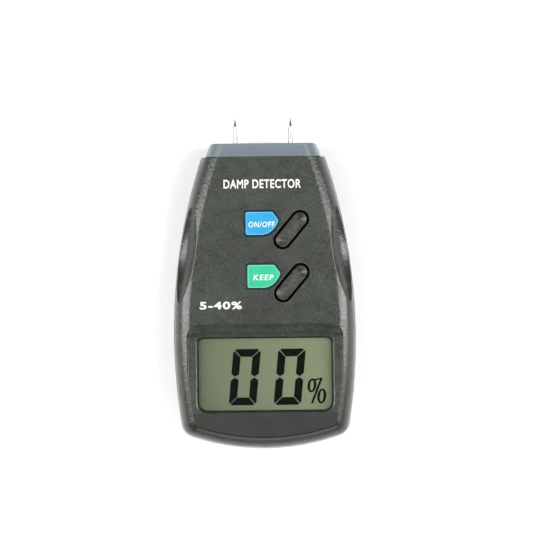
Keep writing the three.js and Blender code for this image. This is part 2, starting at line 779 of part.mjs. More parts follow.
// The thin collapsing wall between the mat and the key, which springs the key back.
function keySkirt(keyY) {
  const z0 = matZ + matThickness + stackGap;
  const z1 = keyFlangeZ - 2 * stackGap;
  const upper = keyRadius - keyStemInset + 0.15 + skirtWall;
  const lower = upper + 0.7;
  const cone = (grow, extra) => loft([
    { z: z0 - extra, points: keyOutline(keyY, lower + grow) },
    { z: z1 + extra, points: keyOutline(keyY, upper + grow) },
  ]);
  return cone(0, 0).subtract(cone(-skirtWall, 0.01));
}

function keypadMat() {
  const sheet = prism(roundedRectangle(
    keyX - keyReachX - matMargin, keyX + keyReachX + matMargin,
    keys.hold - keyReachY - matMargin, matUpperY, 2,
  ), matZ, matZ + matThickness);
  const openings = Object.values(keys).map((keyY) =>
    keyPrism(keyY, keyRadius + 0.25, matZ - 1, matZ + matThickness + 1));
  const notches = fourPlaces(boardPosts).map(([x, y]) =>
    disc(boardPostRadius + boardPostGap, x, y, matZ - 1, matZ + matThickness + 1));
  return sheet.subtract(fuse(...openings, ...notches));
}

function label(name) {
  const top = caseDepth + labelProud;
  return prism(labelShape(name, 0), top - labelThickness, top);
}

// ---------------------------------------------------------------- circuit board and its components

// The board is wide behind the display and narrower behind the keys.
function circuitBoard() {
  const lowerY = frameLowerY - 0.2;
  const wide = frameHalf + 0.2;
  const narrow = upperBoardScrewX + boardEdge;
  const stepY = lowerBoardScrew[1] + boardEdge;
  const upperY = upperBoardScrew[1] + boardEdge;
  const right = [
    [wide - boardCorner, lowerY], [wide, lowerY + boardCorner], [wide, stepY],
    [narrow, stepY + boardEdge], [narrow, upperY],
  ];
  const left = right.map(([x, y]) => [-x, y]).reverse();
  const outline = new THREE.Shape([...right, ...left].map(([x, y]) => new THREE.Vector2(x, y)));
  const holes = fourPlaces(boardPosts).map(([x, y]) =>
    disc(boardScrewRadius + screwHoleGap, x, y, boardZ - 1, boardTopZ + 1, 16));
  return prism(outline, boardZ, boardTopZ).intersect(caseBody(wall + boardToCase)).subtract(fuse(...holes));
}

function controllerBlob() {
  const radius = 6.5;
  const height = 1.7;
  const profile = [
    [0, -height], [0.45 * radius, -0.93 * height], [0.8 * radius, -0.6 * height], [radius, 0], [0, 0],
  ];
  const points = profile.map(([r, y]) => new THREE.Vector2(r, y));
  const geometry = new THREE.LatheGeometry(points, 24).rotateX(Math.PI / 2);
  return solid(geometry.translate(-6, keys.power - 2, underBoard));
}

function chip(x, y, width, length, height) {
  return box(x - width / 2, x + width / 2, y - length / 2, y + length / 2, underBoard - height, underBoard);
}

function capacitorCan() {
  const radius = 2.5;
  const geometry = new THREE.CylinderGeometry(radius, radius, 7, 20);
  return solid(geometry.translate(13, keys.hold + 10, underBoard - radius - 0.1));
}

// ---------------------------------------------------------------- battery, snap and leads

function battery() {
  const half = batteryWidth / 2;
  const shape = roundedRectangle(-half, half, -batteryDepth / 2, batteryDepth / 2, batteryCorner);
  const geometry = new THREE.ExtrudeGeometry(shape, {
    depth: batteryLength,
    bevelEnabled: false,
    curveSegments: 4,
  });
  return solid(geometry.rotateX(Math.PI / 2).translate(0, batteryUpperY, batteryMidZ));
}

function batteryTerminal(pole) {
  const radius = terminalRadius[pole];
  const x = pole === "positive" ? -terminalX : terminalX;
  const y0 = batteryUpperY + stackGap;
  const profile = [[0, y0], [radius, y0], [radius, y0 + terminalHeight], [0, y0 + terminalHeight]];
  return turnedAlongY(profile, { x, z: batteryMidZ }, 20);
}

function batterySnap() {
  const half = batteryDepth / 2 - 2;
  return box(-12.4, 12.4, snapY, snapY + snapThickness, batteryMidZ - half, batteryMidZ + half);
}

function batteryLead(sign) {
  const startY = snapY + snapThickness + 0.3;
  return wire(batteryLeadRadius, [
    [sign * 4, startY, batteryMidZ + 2], [sign * 4, startY + 3, batteryMidZ + 3],
    [sign * 3.6, bayUpperY + 1.5, batteryMidZ + 3.7], [sign * 3.4, bayUpperY + 5, batteryMidZ + 6.2],
    [sign * 3.2, bayUpperY + 7, boardZ - 1.5], [sign * 3.2, bayUpperY + 7.4, boardZ - 0.3],
  ]);
}

// ---------------------------------------------------------------- screws

// A self-tapping screw that points up, with a cross recess in its pan head.
function screw(x, y, seatZ, headRadius, headHeight, shankRadius, tipZ) {
  const dome = [[0, 0], [0.7 * headRadius, 0], [headRadius, 0.45 * headHeight], [headRadius, headHeight],
    [shankRadius, headHeight]];
  const length = tipZ - seatZ + headHeight;
  const tip = [[shankRadius, length - 1.2], [0.4, length], [0, length]];
  const points = [...dome, ...tip].map(([r, up]) => new THREE.Vector2(r, up));
  const bottom = seatZ - headHeight;
  const body = solid(new THREE.LatheGeometry(points, 12).rotateX(Math.PI / 2).translate(x, y, bottom));
  const reach = 0.6 * headRadius;
  const slot = 0.32;
  return body.subtract(fuse(
    box(x - reach, x + reach, y - slot, y + slot, bottom - 1, bottom + 0.6 * headHeight),
    box(x - slot, x + slot, y - reach, y + reach, bottom - 1, bottom + 0.6 * headHeight),
  ));
}

const caseScrew = ([x, y]) =>
  screw(x, y, screwSeatZ - 0.1, screwHeadRadius, screwHeadHeight, screwShankRadius, 23);
const boardScrew = ([x, y]) =>
  screw(x, y, boardZ - 0.1, boardHeadRadius, boardHeadHeight, boardScrewRadius, frontInnerZ - 1.4);

// ---------------------------------------------------------------- materials

const finish = (color, roughness, metalness = 0, more = {}) =>
  new THREE.MeshStandardMaterial({ color, roughness, metalness, ...more });

const material = {
  caseAbs: finish(0x4c4e49, 0.5),
  blockAbs: finish(0x71808a, 0.4),
  keyRubber: finish(0x43433f, 0.55),
  matRubber: finish(0x3a3a38, 0.8),
  carbon: finish(0x161616, 0.7),
  blueLabel: finish(0x24bef8, 0.35),
  greenLabel: finish(0x4ed9af, 0.35),
  lens: finish(0xe8efe6, 0.05, 0, { transparent: true, opacity: 0.2 }),
  frontGlass: finish(0xd8e0cc, 0.05, 0, { transparent: true, opacity: 0.25 }),
  rearGlass: finish(0x828a6e, 0.35),
  zebra: finish(0xc9c2b4, 0.8),
  whitePlastic: finish(0xd9d7cf, 0.6),
  board: finish(0x2f6b3c, 0.5),
  epoxy: finish(0x141414, 0.3),
  ceramic: finish(0x1c1c1e, 0.5),
  can: finish(0x2a3550, 0.35),
  steel: finish(0xc9ccce, 0.22, 1),
  brass: finish(0xc9a44c, 0.3, 1),
  zincSteel: finish(0xa9abad, 0.35, 1),
  batteryJacket: finish(0x2d2f33, 0.35, 0.2),
  redWire: finish(0xb3261e, 0.5),
  blackWire: finish(0x181818, 0.5),
  whiteWire: finish(0xdcdcd6, 0.5),
};

// ---------------------------------------------------------------- assembly

const meter = new THREE.Group();
const fromLowerEnd = new THREE.Group();
fromLowerEnd.position.y = -totalLength / 2;
meter.add(fromLowerEnd);

function place(name, made, look) {
  const mesh = made.getMesh();
  const geometry = new THREE.BufferGeometry();
  geometry.setAttribute("position", new THREE.BufferAttribute(new Float32Array(mesh.vertProperties), 3));
  geometry.setIndex(new THREE.BufferAttribute(new Uint32Array(mesh.triVerts), 1));
  geometry.computeVertexNormals();
  const piece = new THREE.Mesh(geometry, look);
  piece.name = name;
  fromLowerEnd.add(piece);
}

const sides = { left: -1, right: 1 };
const corners = ["lower_left", "lower_right", "upper_left", "upper_right"];

place("front_shell", frontShell(), material.caseAbs);
place("rear_shell", rearShell(), material.caseAbs);
place("battery_door", batteryDoor(), material.caseAbs);

place("electrode_block", electrodeBlock(), material.blockAbs);
for (const at of pinPlaces) {
  place(`pin_${at.name}`, pin(at), material.steel);
  place(`pin_socket_${at.name}`, pinSocket(at), material.brass);
}
for (const [side, sign] of Object.entries(sides)) {
  place(`electrode_strap_${side}`, electrodeStrap(sign), material.brass);
  place(`electrode_lead_${side}`, electrodeLead(sign), material.whiteWire);
}

place("display_window", displayWindow(), material.lens);
place("lcd_front_glass", frontGlass(), material.frontGlass);
place("lcd_rear_glass", rearGlass(), material.rearGlass);
place("lcd_contact_strip", zebraStrip(), material.zebra);
place("lcd_frame", displayFrame(), material.whitePlastic);

for (const [name, y] of Object.entries(keys)) {
  place(`${name}_key`, key(y), material.keyRubber);
  place(`${name}_key_pill`, keyPill(y), material.carbon);
  place(`${name}_key_skirt`, keySkirt(y), material.matRubber);
  place(`${name}_label`, label(name), name === "power" ? material.blueLabel : material.greenLabel);
}
place("keypad_mat", keypadMat(), material.matRubber);

place("circuit_board", circuitBoard(), material.board);
place("controller_blob", controllerBlob(), material.epoxy);
place("amplifier_chip", chip(-11, keys.hold + 6, 4, 5, 1.5), material.ceramic);
place("regulator_chip", chip(10, keys.power + 4, 4.5, 4, 1.5), material.ceramic);
place("filter_capacitor", capacitorCan(), material.can);
[-13.5, -11, -8.5].forEach((x, i) => {
  place(`resistor_${i + 1}`, chip(x, keys.power + 8.7, 1.3, 2.6, 0.7), material.ceramic);
});

fourPlaces(casePosts).forEach((at, i) => {
  place(`case_screw_${corners[i]}`, caseScrew(at), material.zincSteel);
});
fourPlaces(boardPosts).forEach((at, i) => {
  place(`board_screw_${corners[i]}`, boardScrew(at), material.zincSteel);
});

place("battery", battery(), material.batteryJacket);
place("battery_terminal_positive", batteryTerminal("positive"), material.zincSteel);
place("battery_terminal_negative", batteryTerminal("negative"), material.zincSteel);
place("battery_snap", batterySnap(), material.ceramic);
place("battery_lead_red", batteryLead(-1), material.redWire);
place("battery_lead_black", batteryLead(1), material.blackWire);

export default meter;
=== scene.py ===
import math

import bmesh
import bpy
from mathutils import Matrix, Vector


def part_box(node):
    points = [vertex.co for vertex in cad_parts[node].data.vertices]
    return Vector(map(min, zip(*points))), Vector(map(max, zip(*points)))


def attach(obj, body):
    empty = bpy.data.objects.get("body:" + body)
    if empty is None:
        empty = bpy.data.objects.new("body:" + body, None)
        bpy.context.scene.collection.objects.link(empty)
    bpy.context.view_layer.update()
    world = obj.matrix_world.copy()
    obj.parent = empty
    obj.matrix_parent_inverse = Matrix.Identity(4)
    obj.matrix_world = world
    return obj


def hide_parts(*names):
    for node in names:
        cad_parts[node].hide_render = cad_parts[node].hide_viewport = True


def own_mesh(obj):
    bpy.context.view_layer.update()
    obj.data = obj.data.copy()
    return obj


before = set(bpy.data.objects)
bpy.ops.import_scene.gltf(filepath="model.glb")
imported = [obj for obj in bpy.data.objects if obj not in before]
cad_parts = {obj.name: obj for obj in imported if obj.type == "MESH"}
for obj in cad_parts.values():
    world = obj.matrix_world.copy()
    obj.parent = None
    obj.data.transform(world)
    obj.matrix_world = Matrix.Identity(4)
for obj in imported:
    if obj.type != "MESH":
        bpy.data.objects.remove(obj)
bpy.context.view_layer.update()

# ------------------------------------------------------------------ front shell
# The cover is one thick-walled ABS moulding. A broad shoulder, with a finger scoop in each side, rises
# to a flat face, which is pierced for two keys and sinks round the window. Lengths are in
# millimetres, with Y counted from the case's lower end.

mm = 0.001
lower_end = -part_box("pin_front_left")[1].y / mm
upper_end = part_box("rear_shell")[1].y / mm - lower_end
face_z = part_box("front_shell")[1].z / mm
case_half = 35.0
upper_half = 23.75
widest_y = 43.5
end_radius = 86.6
corner_radius = 5.5
shoulder_width = 6.2
shoulder_height = 7.0
front_draft = 0.8
parting_z = 15.0
seam = 0.15
wall = 2.0
end_lean = 0.6
end_wall_y = upper_end - end_lean - wall
taper = case_half - upper_half
side_radius = (taper ** 2 + (upper_end - widest_y) ** 2) / (2 * taper)


def make_piece(name, points, faces):
    """A mesh object from points in millimetres, with Y counted from the case's lower end."""
    mesh = bpy.data.meshes.new(name)
    mesh.from_pydata([((x * mm), (y + lower_end) * mm, z * mm) for x, y, z in points], [], faces)
    piece = bpy.data.objects.new(name, mesh)
    bpy.context.scene.collection.objects.link(piece)
    return piece


def loft(name, rings):
    """A closed skin through rings of the same number of points, capped at both ends."""
    count = len(rings[0])
    points = [p for ring in rings for p in ring]
    faces = [tuple(reversed(range(count)))]
    for level in range(len(rings) - 1):
        for i in range(count):
            a, b = level * count + i, level * count + (i + 1) % count
            faces.append((a, b, b + count, a + count))
    top = (len(rings) - 1) * count
    faces.append(tuple(range(top, top + count)))
    return make_piece(name, points, faces)


def outward(piece):
    """Turns the faces of a closed skin to look out."""
    made = bmesh.new()
    made.from_mesh(piece.data)
    if made.calc_volume(signed=True) < 0:
        bmesh.ops.reverse_faces(made, faces=made.faces[:])
    made.to_mesh(piece.data)
    made.free()
    return piece


def flat_ring(outline, z):
    return [(x, y, z) for x, y in outline]


def boolean(piece, other, operation="DIFFERENCE"):
    """Cuts, joins or keeps the common part, and uses the other object up."""
    change = piece.modifiers.new("shape", "BOOLEAN")
    change.operation = operation
    change.solver = "MANIFOLD"
    change.object = other
    bpy.context.view_layer.update()
    mesh = bpy.data.meshes.new_from_object(piece.evaluated_get(bpy.context.evaluated_depsgraph_get()))
    piece.modifiers.clear()
    piece.data = mesh
    bpy.data.objects.remove(other)
    return piece


def arc(cx, cy, radius, start, end, steps):
    angles = [start + (end - start) * i / steps for i in range(steps + 1)]
    return [(cx + radius * math.cos(a), cy + radius * math.sin(a)) for a in angles]


def case_outline(inset, over=8.0):
    """The case from the front, moved in by inset: side arcs, rounded corners and a lower end arc."""
    side_x, side_r = case_half - side_radius, side_radius - inset
    end_y, end_r = end_radius, end_radius - inset
    corner = max(corner_radius - 0.45 * inset, 1.5)
    a, b = side_r - corner, end_r - corner
    apart = math.hypot(side_x, end_y - widest_y)
    along = (a * a - b * b + apart * apart) / (2 * apart)
    across = math.sqrt(a * a - along * along)
    ux, uy = -side_x / apart, (end_y - widest_y) / apart
    cx, cy = side_x + ux * along + uy * across, widest_y + uy * along - ux * across
    from_end = math.atan2(cy - end_y, cx)
    from_side = math.atan2(cy - widest_y, cx - side_x)
    upper = math.asin((upper_end + over - widest_y) / side_r)
    right = arc(0, end_y, end_r, -math.pi / 2, from_end, 22)
    right += arc(cx, cy, corner, from_end, from_side, 14)[1:]
    right += arc(side_x, widest_y, side_r, from_side, upper, 64)[1:]
    return right + [(-x, y) for x, y in reversed(right[1:])]


def shoulder_z(inset):
    """The height of the case's outside where it is this far in from the silhouette."""
    if inset < front_draft:
        return parting_z + (face_z - shoulder_height - parting_z) * inset / front_draft
    reach = min((inset - front_draft) / shoulder_width, 1)
    return face_z - shoulder_height * (1 - math.sqrt(1 - (1 - reach) ** 2))


def front_rings(inset, lowest, edge=0.0):
    rings = []
    if edge:
        rings += [(inset + edge, lowest), (inset + 0.3 * edge, lowest + 0.3 * edge)]
    rings += [(inset, lowest + edge), (inset + front_draft * 0.5, (lowest + face_z - shoulder_height) / 2)]
    steps = 20
    for i in range(steps + 1):
        turn = math.pi / 2 * i / steps
        rings.append((
            front_draft + shoulder_width - (shoulder_width - inset) * math.cos(turn),
            face_z - shoulder_height + (shoulder_height - inset) * math.sin(turn),
        ))
    return [flat_ring(case_outline(across), z) for across, z in rings]


def slice_off(piece, place, normal):
    """Takes away what lies on the normal's side of a plane, and closes the cut."""
    made = bmesh.new()
    made.from_mesh(piece.data)
    point = (place[0] * mm, (place[1] + lower_end) * mm, place[2] * mm)
    bmesh.ops.bisect_plane(made, geom=made.verts[:] + made.edges[:] + made.faces[:], dist=1e-7,
                           plane_co=point, plane_no=normal, clear_outer=True)
    rim = [e for e in made.edges if e.is_boundary]
    bmesh.ops.contextual_create(made, geom=rim)
    bmesh.ops.recalc_face_normals(made, faces=made.faces[:])
    made.to_mesh(piece.data)
    made.free()


def block(name, x0, x1, y0, y1, z0, z1):
    outline = [(x0, y0), (x1, y0), (x1, y1), (x0, y1)]
    return loft(name, [flat_ring(outline, z0), flat_ring(outline, z1)])


def soften(piece, sharp=28):
    """Smooth shading that keeps real corners, and keeps wide flat faces truly flat."""
    made = bmesh.new()
    made.from_mesh(piece.data)
    for face in made.faces:
        face.smooth = True
    made.to_mesh(piece.data)
    made.faces.ensure_lookup_table()
    areas = [face.calc_area() for face in made.faces]
    group, whole = {}, {}
    for face in made.faces:
        if face.index in group:
            continue
        group[face.index], stack, whole[face.index] = face.index, [face], 0.0
        while stack:
            here = stack.pop()
            whole[face.index] += areas[here.index]
            for edge in here.edges:
                for other in edge.link_faces:
                    if other.index not in group and other.normal.dot(face.normal) > 0.99999:
                        group[other.index] = face.index
                        stack.append(other)
    limit, flat, sliver = math.cos(math.radians(sharp)), 8 * mm ** 2, 1e-4 * mm ** 2
    normals = []
    for face in made.faces:
        for loop in face.loops:
            around = [f for f in loop.vert.link_faces if areas[f.index] > sliver]
            near = [f for f in around if f.normal.dot(face.normal) > limit] or around or [face]
            widest = max(near, key=lambda f: whole[group[f.index]])
            normal = widest.normal.copy()
            if whole[group[widest.index]] < flat:
                normal = sum((f.normal * areas[f.index] for f in near), Vector())
            normals.append(normal.normalized())
    made.free()
    piece.data.normals_split_custom_set(normals)


scoop_low_y, scoop_high_y = 56.0, 92.6
scoop_low_tip, scoop_high_tip = 2.5, 1.7
scoop_reach = 6.4
scoop_brim = 0.45
scoop_edge = 0.35


def scoop(sign, grow=0.0):
    """A leaf-shaped cove along the shoulder. It falls steeply at its inner edge and flattens
    outwards to a thin brim."""
    rings = []
    steps = 56
    side_x = case_half - side_radius
    for i in range(steps + 1):
        along = 0.5 - 0.5 * math.cos(math.pi * i / steps)
        swell = math.sin(math.pi * along)
        tip = scoop_low_tip + (scoop_high_tip - scoop_low_tip) * along
        inner = tip + (scoop_reach - tip) * max(swell, 1e-6) ** (0.8 - 0.3 * along)
        brim = tip - (tip - scoop_brim) * max(swell, 1e-6) ** 0.3
        round_off = min(scoop_edge, 0.3 * (inner - brim))
        top = shoulder_z(inner + round_off)
        floor = shoulder_z(brim)
        section = [(inner + round_off, face_z + 3)]
        for k in range(5):
            turn = math.pi / 2 * k / 4
            section.append((
                inner + round_off * (1 - math.sin(turn)), top - round_off * (1 - math.cos(turn)),
            ))
        start = top - round_off
        for k in range(1, 17):
            turn = math.pi / 2 * k / 16
            section.append((
                inner - (inner - brim) * (1 - math.cos(turn)), start - (start - floor) * math.sin(turn),
            ))
        section += [(-4, floor), (-4, face_z + 3)]
        y = scoop_low_y + (scoop_high_y - scoop_low_y) * along
        angle = math.asin((y - widest_y) / (side_radius - inner))
        ring = []
        for inset, z in section:
            r = side_radius - inset - grow
            ring.append((sign * (side_x + r * math.cos(angle)), widest_y + r * math.sin(angle), z - grow))
        rings.append(ring if sign > 0 else ring[::-1])
    return outward(loft("scoop", rings))


window_half = 25.6
window_low_y, window_high_y = 15.0, 43.0
window_low_corner, window_high_corner = 3.4, 2.2
surround_depth = 1.2
surround_inset = 4.3
surround_half = 30.1
surround_high_y = 48.7
surround_corner = 5.0
surround_z = face_z - surround_depth


def rounded_box(x0, x1, y0, y1, low, high, steps=8):
    points = arc(x1 - low, y0 + low, low, -math.pi / 2, 0, steps)
    points += arc(x1 - high, y1 - high, high, 0, math.pi / 2, steps)
    points += arc(x0 + high, y1 - high, high, math.pi / 2, math.pi, steps)
    return points + arc(x0 + low, y0 + low, low, math.pi, 1.5 * math.pi, steps)


def window_outline(grow=0.0):
    return rounded_box(-window_half - grow, window_half + grow, window_low_y - grow, window_high_y + grow,
                       window_low_corner + grow, window_high_corner + grow)


def ray_hit(outline, centre, angle):
    """How far a ray from the centre runs to the outline."""
    dx, dy = math.cos(angle), math.sin(angle)
    best = 0.0
    for i, (ax, ay) in enumerate(outline):
        bx, by = outline[(i + 1) % len(outline)]
        ex, ey, fx, fy = bx - ax, by - ay, ax - centre[0], ay - centre[1]
        cross = dx * ey - dy * ex
        if abs(cross) < 1e-12:
            continue
        t, s = (fx * ey - fy * ex) / cross, (fx * dy - fy * dx) / cross
        if -1e-9 <= s <= 1 + 1e-9 and t > best:
            best = t
    return best


def smooth(x):
    x = min(max(x, 0.0), 1.0)
    return x * x * (3 - 2 * x)


def surround():
    """The sunken surround: a short soft wall at the sides and below, and a long ramp above."""
    centre = (0.0, (window_low_y + window_high_y) / 2)
    outer = case_outline(surround_inset)
    top = rounded_box(-surround_half, surround_half, -9, surround_high_y, 1, surround_corner)
    inner = window_outline(0.5)
    turns = [2 * math.pi * i / 420 for i in range(420)]
    edges = []
    for turn in turns:
        far = min(ray_hit(outer, centre, turn), ray_hit(top, centre, turn))
        edges.append((turn, ray_hit(inner, centre, turn), far))
    wall_steps = [0.0, 0.1, 0.22, 0.36, 0.5, 0.65, 0.8, 1.0]
    floor_steps = [0.15, 0.3, 0.45, 0.6, 0.8, 1.0]
    wall_width, overhang = 1.0, 0.8
    rings = [[], []]
    for turn, near, far in edges:
        out = far + overhang
        for ring, z in zip(rings, (face_z + 3, face_z + 0.6)):
            ring.append((centre[0] + out * math.cos(turn), centre[1] + out * math.sin(turn), z))
    for share in wall_steps + [1 + s for s in floor_steps]:
        ring = []
        for turn, near, far in edges:
            high = smooth((centre[1] + far * math.sin(turn) - window_high_y - 0.6) / 4.4)
            reach = far - near
            wall_end = min(wall_width, 0.6 * reach) * (1 - high) + 0.45 * reach * high
            gone = wall_end * share if share <= 1 else wall_end + (reach - wall_end) * (share - 1)
            steep = 0.85 * surround_depth * smooth(gone / wall_end) + 0.15 * surround_depth * gone / reach
            ramp = surround_depth * smooth(gone / reach)
            drop = steep * (1 - high) + ramp * high
            lift = 0.02 * (1 - min(share, 1))
            ring.append((
                centre[0] + (far - gone) * math.cos(turn), centre[1] + (far - gone) * math.sin(turn),
                face_z + lift - drop,
            ))
        rings.append(ring)
    return loft("surround", rings[::-1])


def window_cut():
    """The window's opening, with a wall that leans out and a soft upper edge."""
    steps = [(0, 26.0), (0, surround_z - 0.75), (0.22, surround_z - 0.34), (0.34, surround_z - 0.16),
             (0.5, surround_z - 0.05), (0.72, surround_z + 0.02), (0.72, face_z - 0.2)]
    return loft("window", [flat_ring(window_outline(grow), z) for grow, z in steps])


power_box, hold_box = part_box("power_key"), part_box("hold_key")
key_angle = math.radians(50)
key_straight = 10.3
key_radius = 2.95
key_gap = 0.58
slot_edge = 0.1
slot_foot_z = 26.5
key_x = (power_box[0].x + power_box[1].x) / 2 / mm
key_y = {
    "power": (power_box[0].y + power_box[1].y) / 2 / mm - lower_end,
    "hold": (hold_box[0].y + hold_box[1].y) / 2 / mm - lower_end,
}


def key_outline(name, radius):
    dx, dy = math.cos(key_angle) * key_straight / 2, math.sin(key_angle) * key_straight / 2
    x, y = key_x, key_y[name]
    half = math.pi / 2
    return arc(x + dx, y + dy, radius, key_angle - half, key_angle + half, 18) + \
        arc(x - dx, y - dy, radius, key_angle + half, key_angle + 3 * half, 18)


def key_slot(name):
    slot = key_radius + key_gap
    rings = [flat_ring(key_outline(name, slot), slot_foot_z)]
    for k in range(7):
        turn = math.pi / 2 * k / 6
        grow, drop = slot_edge * (1 - math.cos(turn)), slot_edge * (1 - math.sin(turn))
        rings.append(flat_ring(key_outline(name, slot + grow), face_z + 0.01 - drop))
    rings.append(flat_ring(key_outline(name, slot + slot_edge + 0.02), face_z + 1))
    return loft("slot", rings)


label_boxes = {name: [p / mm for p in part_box(name + "_label")] for name in key_y}
label_length = label_boxes["power"][1].x - label_boxes["power"][0].x
label_height = label_boxes["power"][1].y - label_boxes["power"][0].y
label_bottom, label_top = label_boxes["power"][0].z, label_boxes["power"][1].z
label_corner = 1.7
label_tip = 0.3
label_seat_gap = 0.14


def label_outline(name, inset=0.0):
    """A tag with a blunt point on the right, moved in by inset."""
    length, height = label_length, label_height
    left, low = label_boxes[name][0].x, label_boxes[name][0].y - lower_end

    def bezier(p0, p1, p2, p3, steps):
        out = []
        for i in range(1, steps + 1):
            t = i / steps
            a, b, c, d = (1 - t) ** 3, 3 * t * (1 - t) ** 2, 3 * t * t * (1 - t), t ** 3
            out.append(tuple(a * p0[k] + b * p1[k] + c * p2[k] + d * p3[k] for k in (0, 1)))
        return out

    def bend(p0, p1, p2, steps=8):
        c1 = tuple(p0[k] + 2 / 3 * (p1[k] - p0[k]) for k in (0, 1))
        c2 = tuple(p2[k] + 2 / 3 * (p1[k] - p2[k]) for k in (0, 1))
        return bezier(p0, c1, c2, p2, steps)

    low_right, top_right = (0.48 * length, 0), (0.74 * length, height)
    tip_low, tip_high = (length - label_tip, 0.5 * height), (length - label_tip, 0.68 * height)
    slope_end = (0.85 * length, 0.93 * height)
    corner = label_corner
    points = [(corner, 0), low_right]
    points += bezier(low_right, (0.7 * length, 0), (0.88 * length, 0.2 * height), tip_low, 18)
    points += bend(tip_low, (length + 0.9 * label_tip, 0.59 * height), tip_high)
    points += [slope_end] + bend(slope_end, (0.81 * length, height), top_right)
    points += [(corner, height)] + bend((corner, height), (0, height), (0, height - corner))
    points += [(0, corner)] + bend((0, corner), (0, 0), (corner, 0))[:-1]
    moved = []
    count = len(points)
    for i in range(count):
        (ax, ay), (bx, by), (cx, cy) = points[i - 1], points[i], points[(i + 1) % count]
        n1 = Vector((ay - by, bx - ax)).normalized()
        n2 = Vector((by - cy, cx - bx)).normalized()
        n = (n1 + n2).normalized()
        reach = inset / max(n.dot(n1), 0.5)
        moved.append((bx + n.x * reach + left, by + n.y * reach + low))
    return moved


def label_seat(name):
    outline = label_outline(name, -label_seat_gap)
    return loft("seat", [flat_ring(outline, label_bottom - 0.05), flat_ring(outline, face_z + 1)])


def tube(name, x, y, radius, z0, z1, segments=32):
    ring = arc(x, y, radius, 0, 2 * math.pi * (1 - 1 / segments), segments - 1)
    return loft(name, [flat_ring(ring, z0), flat_ring(ring, z1)])


def mirrored(places):
    return [(sign * x, y) for x, y in places for sign in (-1, 1)]


def screw_place(name):
    """Where a screw stands, seen from above."""
    low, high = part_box(name)
    middle = (low + high) / 2 / mm
    return middle.x, middle.y - lower_end


case_posts = mirrored([screw_place("case_screw_lower_right"), screw_place("case_screw_upper_right")])
board_posts = mirrored([screw_place("board_screw_lower_right"), screw_place("board_screw_upper_right")])
post_radius, post_bore = 3, 1.55
board_post_radius, board_post_bore = 2.4, 1.3
board_top_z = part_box("circuit_board")[1].z / mm
block_neck = 3.6

front_shell = loft("front_shell_skin", front_rings(0.0, parting_z + seam, edge=0.22))
slice_off(front_shell, (0, upper_end, parting_z), (0, 1, end_lean / (face_z - parting_z)))
hollow = loft("hollow", front_rings(wall, parting_z - 3))
slice_off(hollow, (0, end_wall_y, 0), (0, 1, 0))
for sign in (-1, 1):
    boolean(hollow, scoop(sign, grow=wall))
boolean(hollow, block("sill", -40, 40, -5, surround_high_y + 1, surround_z - 1.6, 40))
boolean(front_shell, hollow)
for x, y in case_posts:
    boolean(front_shell, tube("post", x, y, post_radius, parting_z + 0.3, face_z - 1.5), "UNION")
    boolean(front_shell, tube("hole", x, y, post_bore, parting_z, face_z - 5))
for x, y in board_posts:
    post = tube("post", x, y, board_post_radius, board_top_z + 0.1, surround_z - 0.5)
    boolean(front_shell, post, "UNION")
    boolean(front_shell, tube("hole", x, y, board_post_bore, board_top_z, surround_z - 1.6))
for sign in (-1, 1):
    boolean(front_shell, scoop(sign))
boolean(front_shell, surround())
boolean(front_shell, window_cut())
for name in key_y:
    boolean(front_shell, key_slot(name))
    boolean(front_shell, label_seat(name))
neck_way = loft("neck_way", front_rings(block_neck, parting_z - 3))
slice_off(neck_way, (0, end_wall_y - 1, 0), (0, -1, 0))
boolean(front_shell, neck_way)
soften(front_shell)


def linear(hex_colour):
    """An sRGB hex colour as the linear values that a shader takes."""
    channels = [int(hex_colour[i:i + 2], 16) / 255 for i in (1, 3, 5)]
    return tuple(c / 12.92 if c <= 0.04045 else ((c + 0.055) / 1.055) ** 2.4 for c in channels) + (1.0,)


def add(tree, kind, settings=None, links=None):
    """One node, with its settings and the links that come into it."""
    made = tree.nodes.new(kind)
    for key, value in (settings or {}).items():
        if isinstance(key, int) or key in made.inputs:
            made.inputs[key].default_value = value
        else:
            setattr(made, key, value)
    for key, source in (links or {}).items():
        tree.links.new(source, made.inputs[key])
    return made


def start_material(name):
    material = bpy.data.materials.new(name)
    material.use_nodes = True
    tree = material.node_tree
    tree.nodes.clear()
    return material, tree


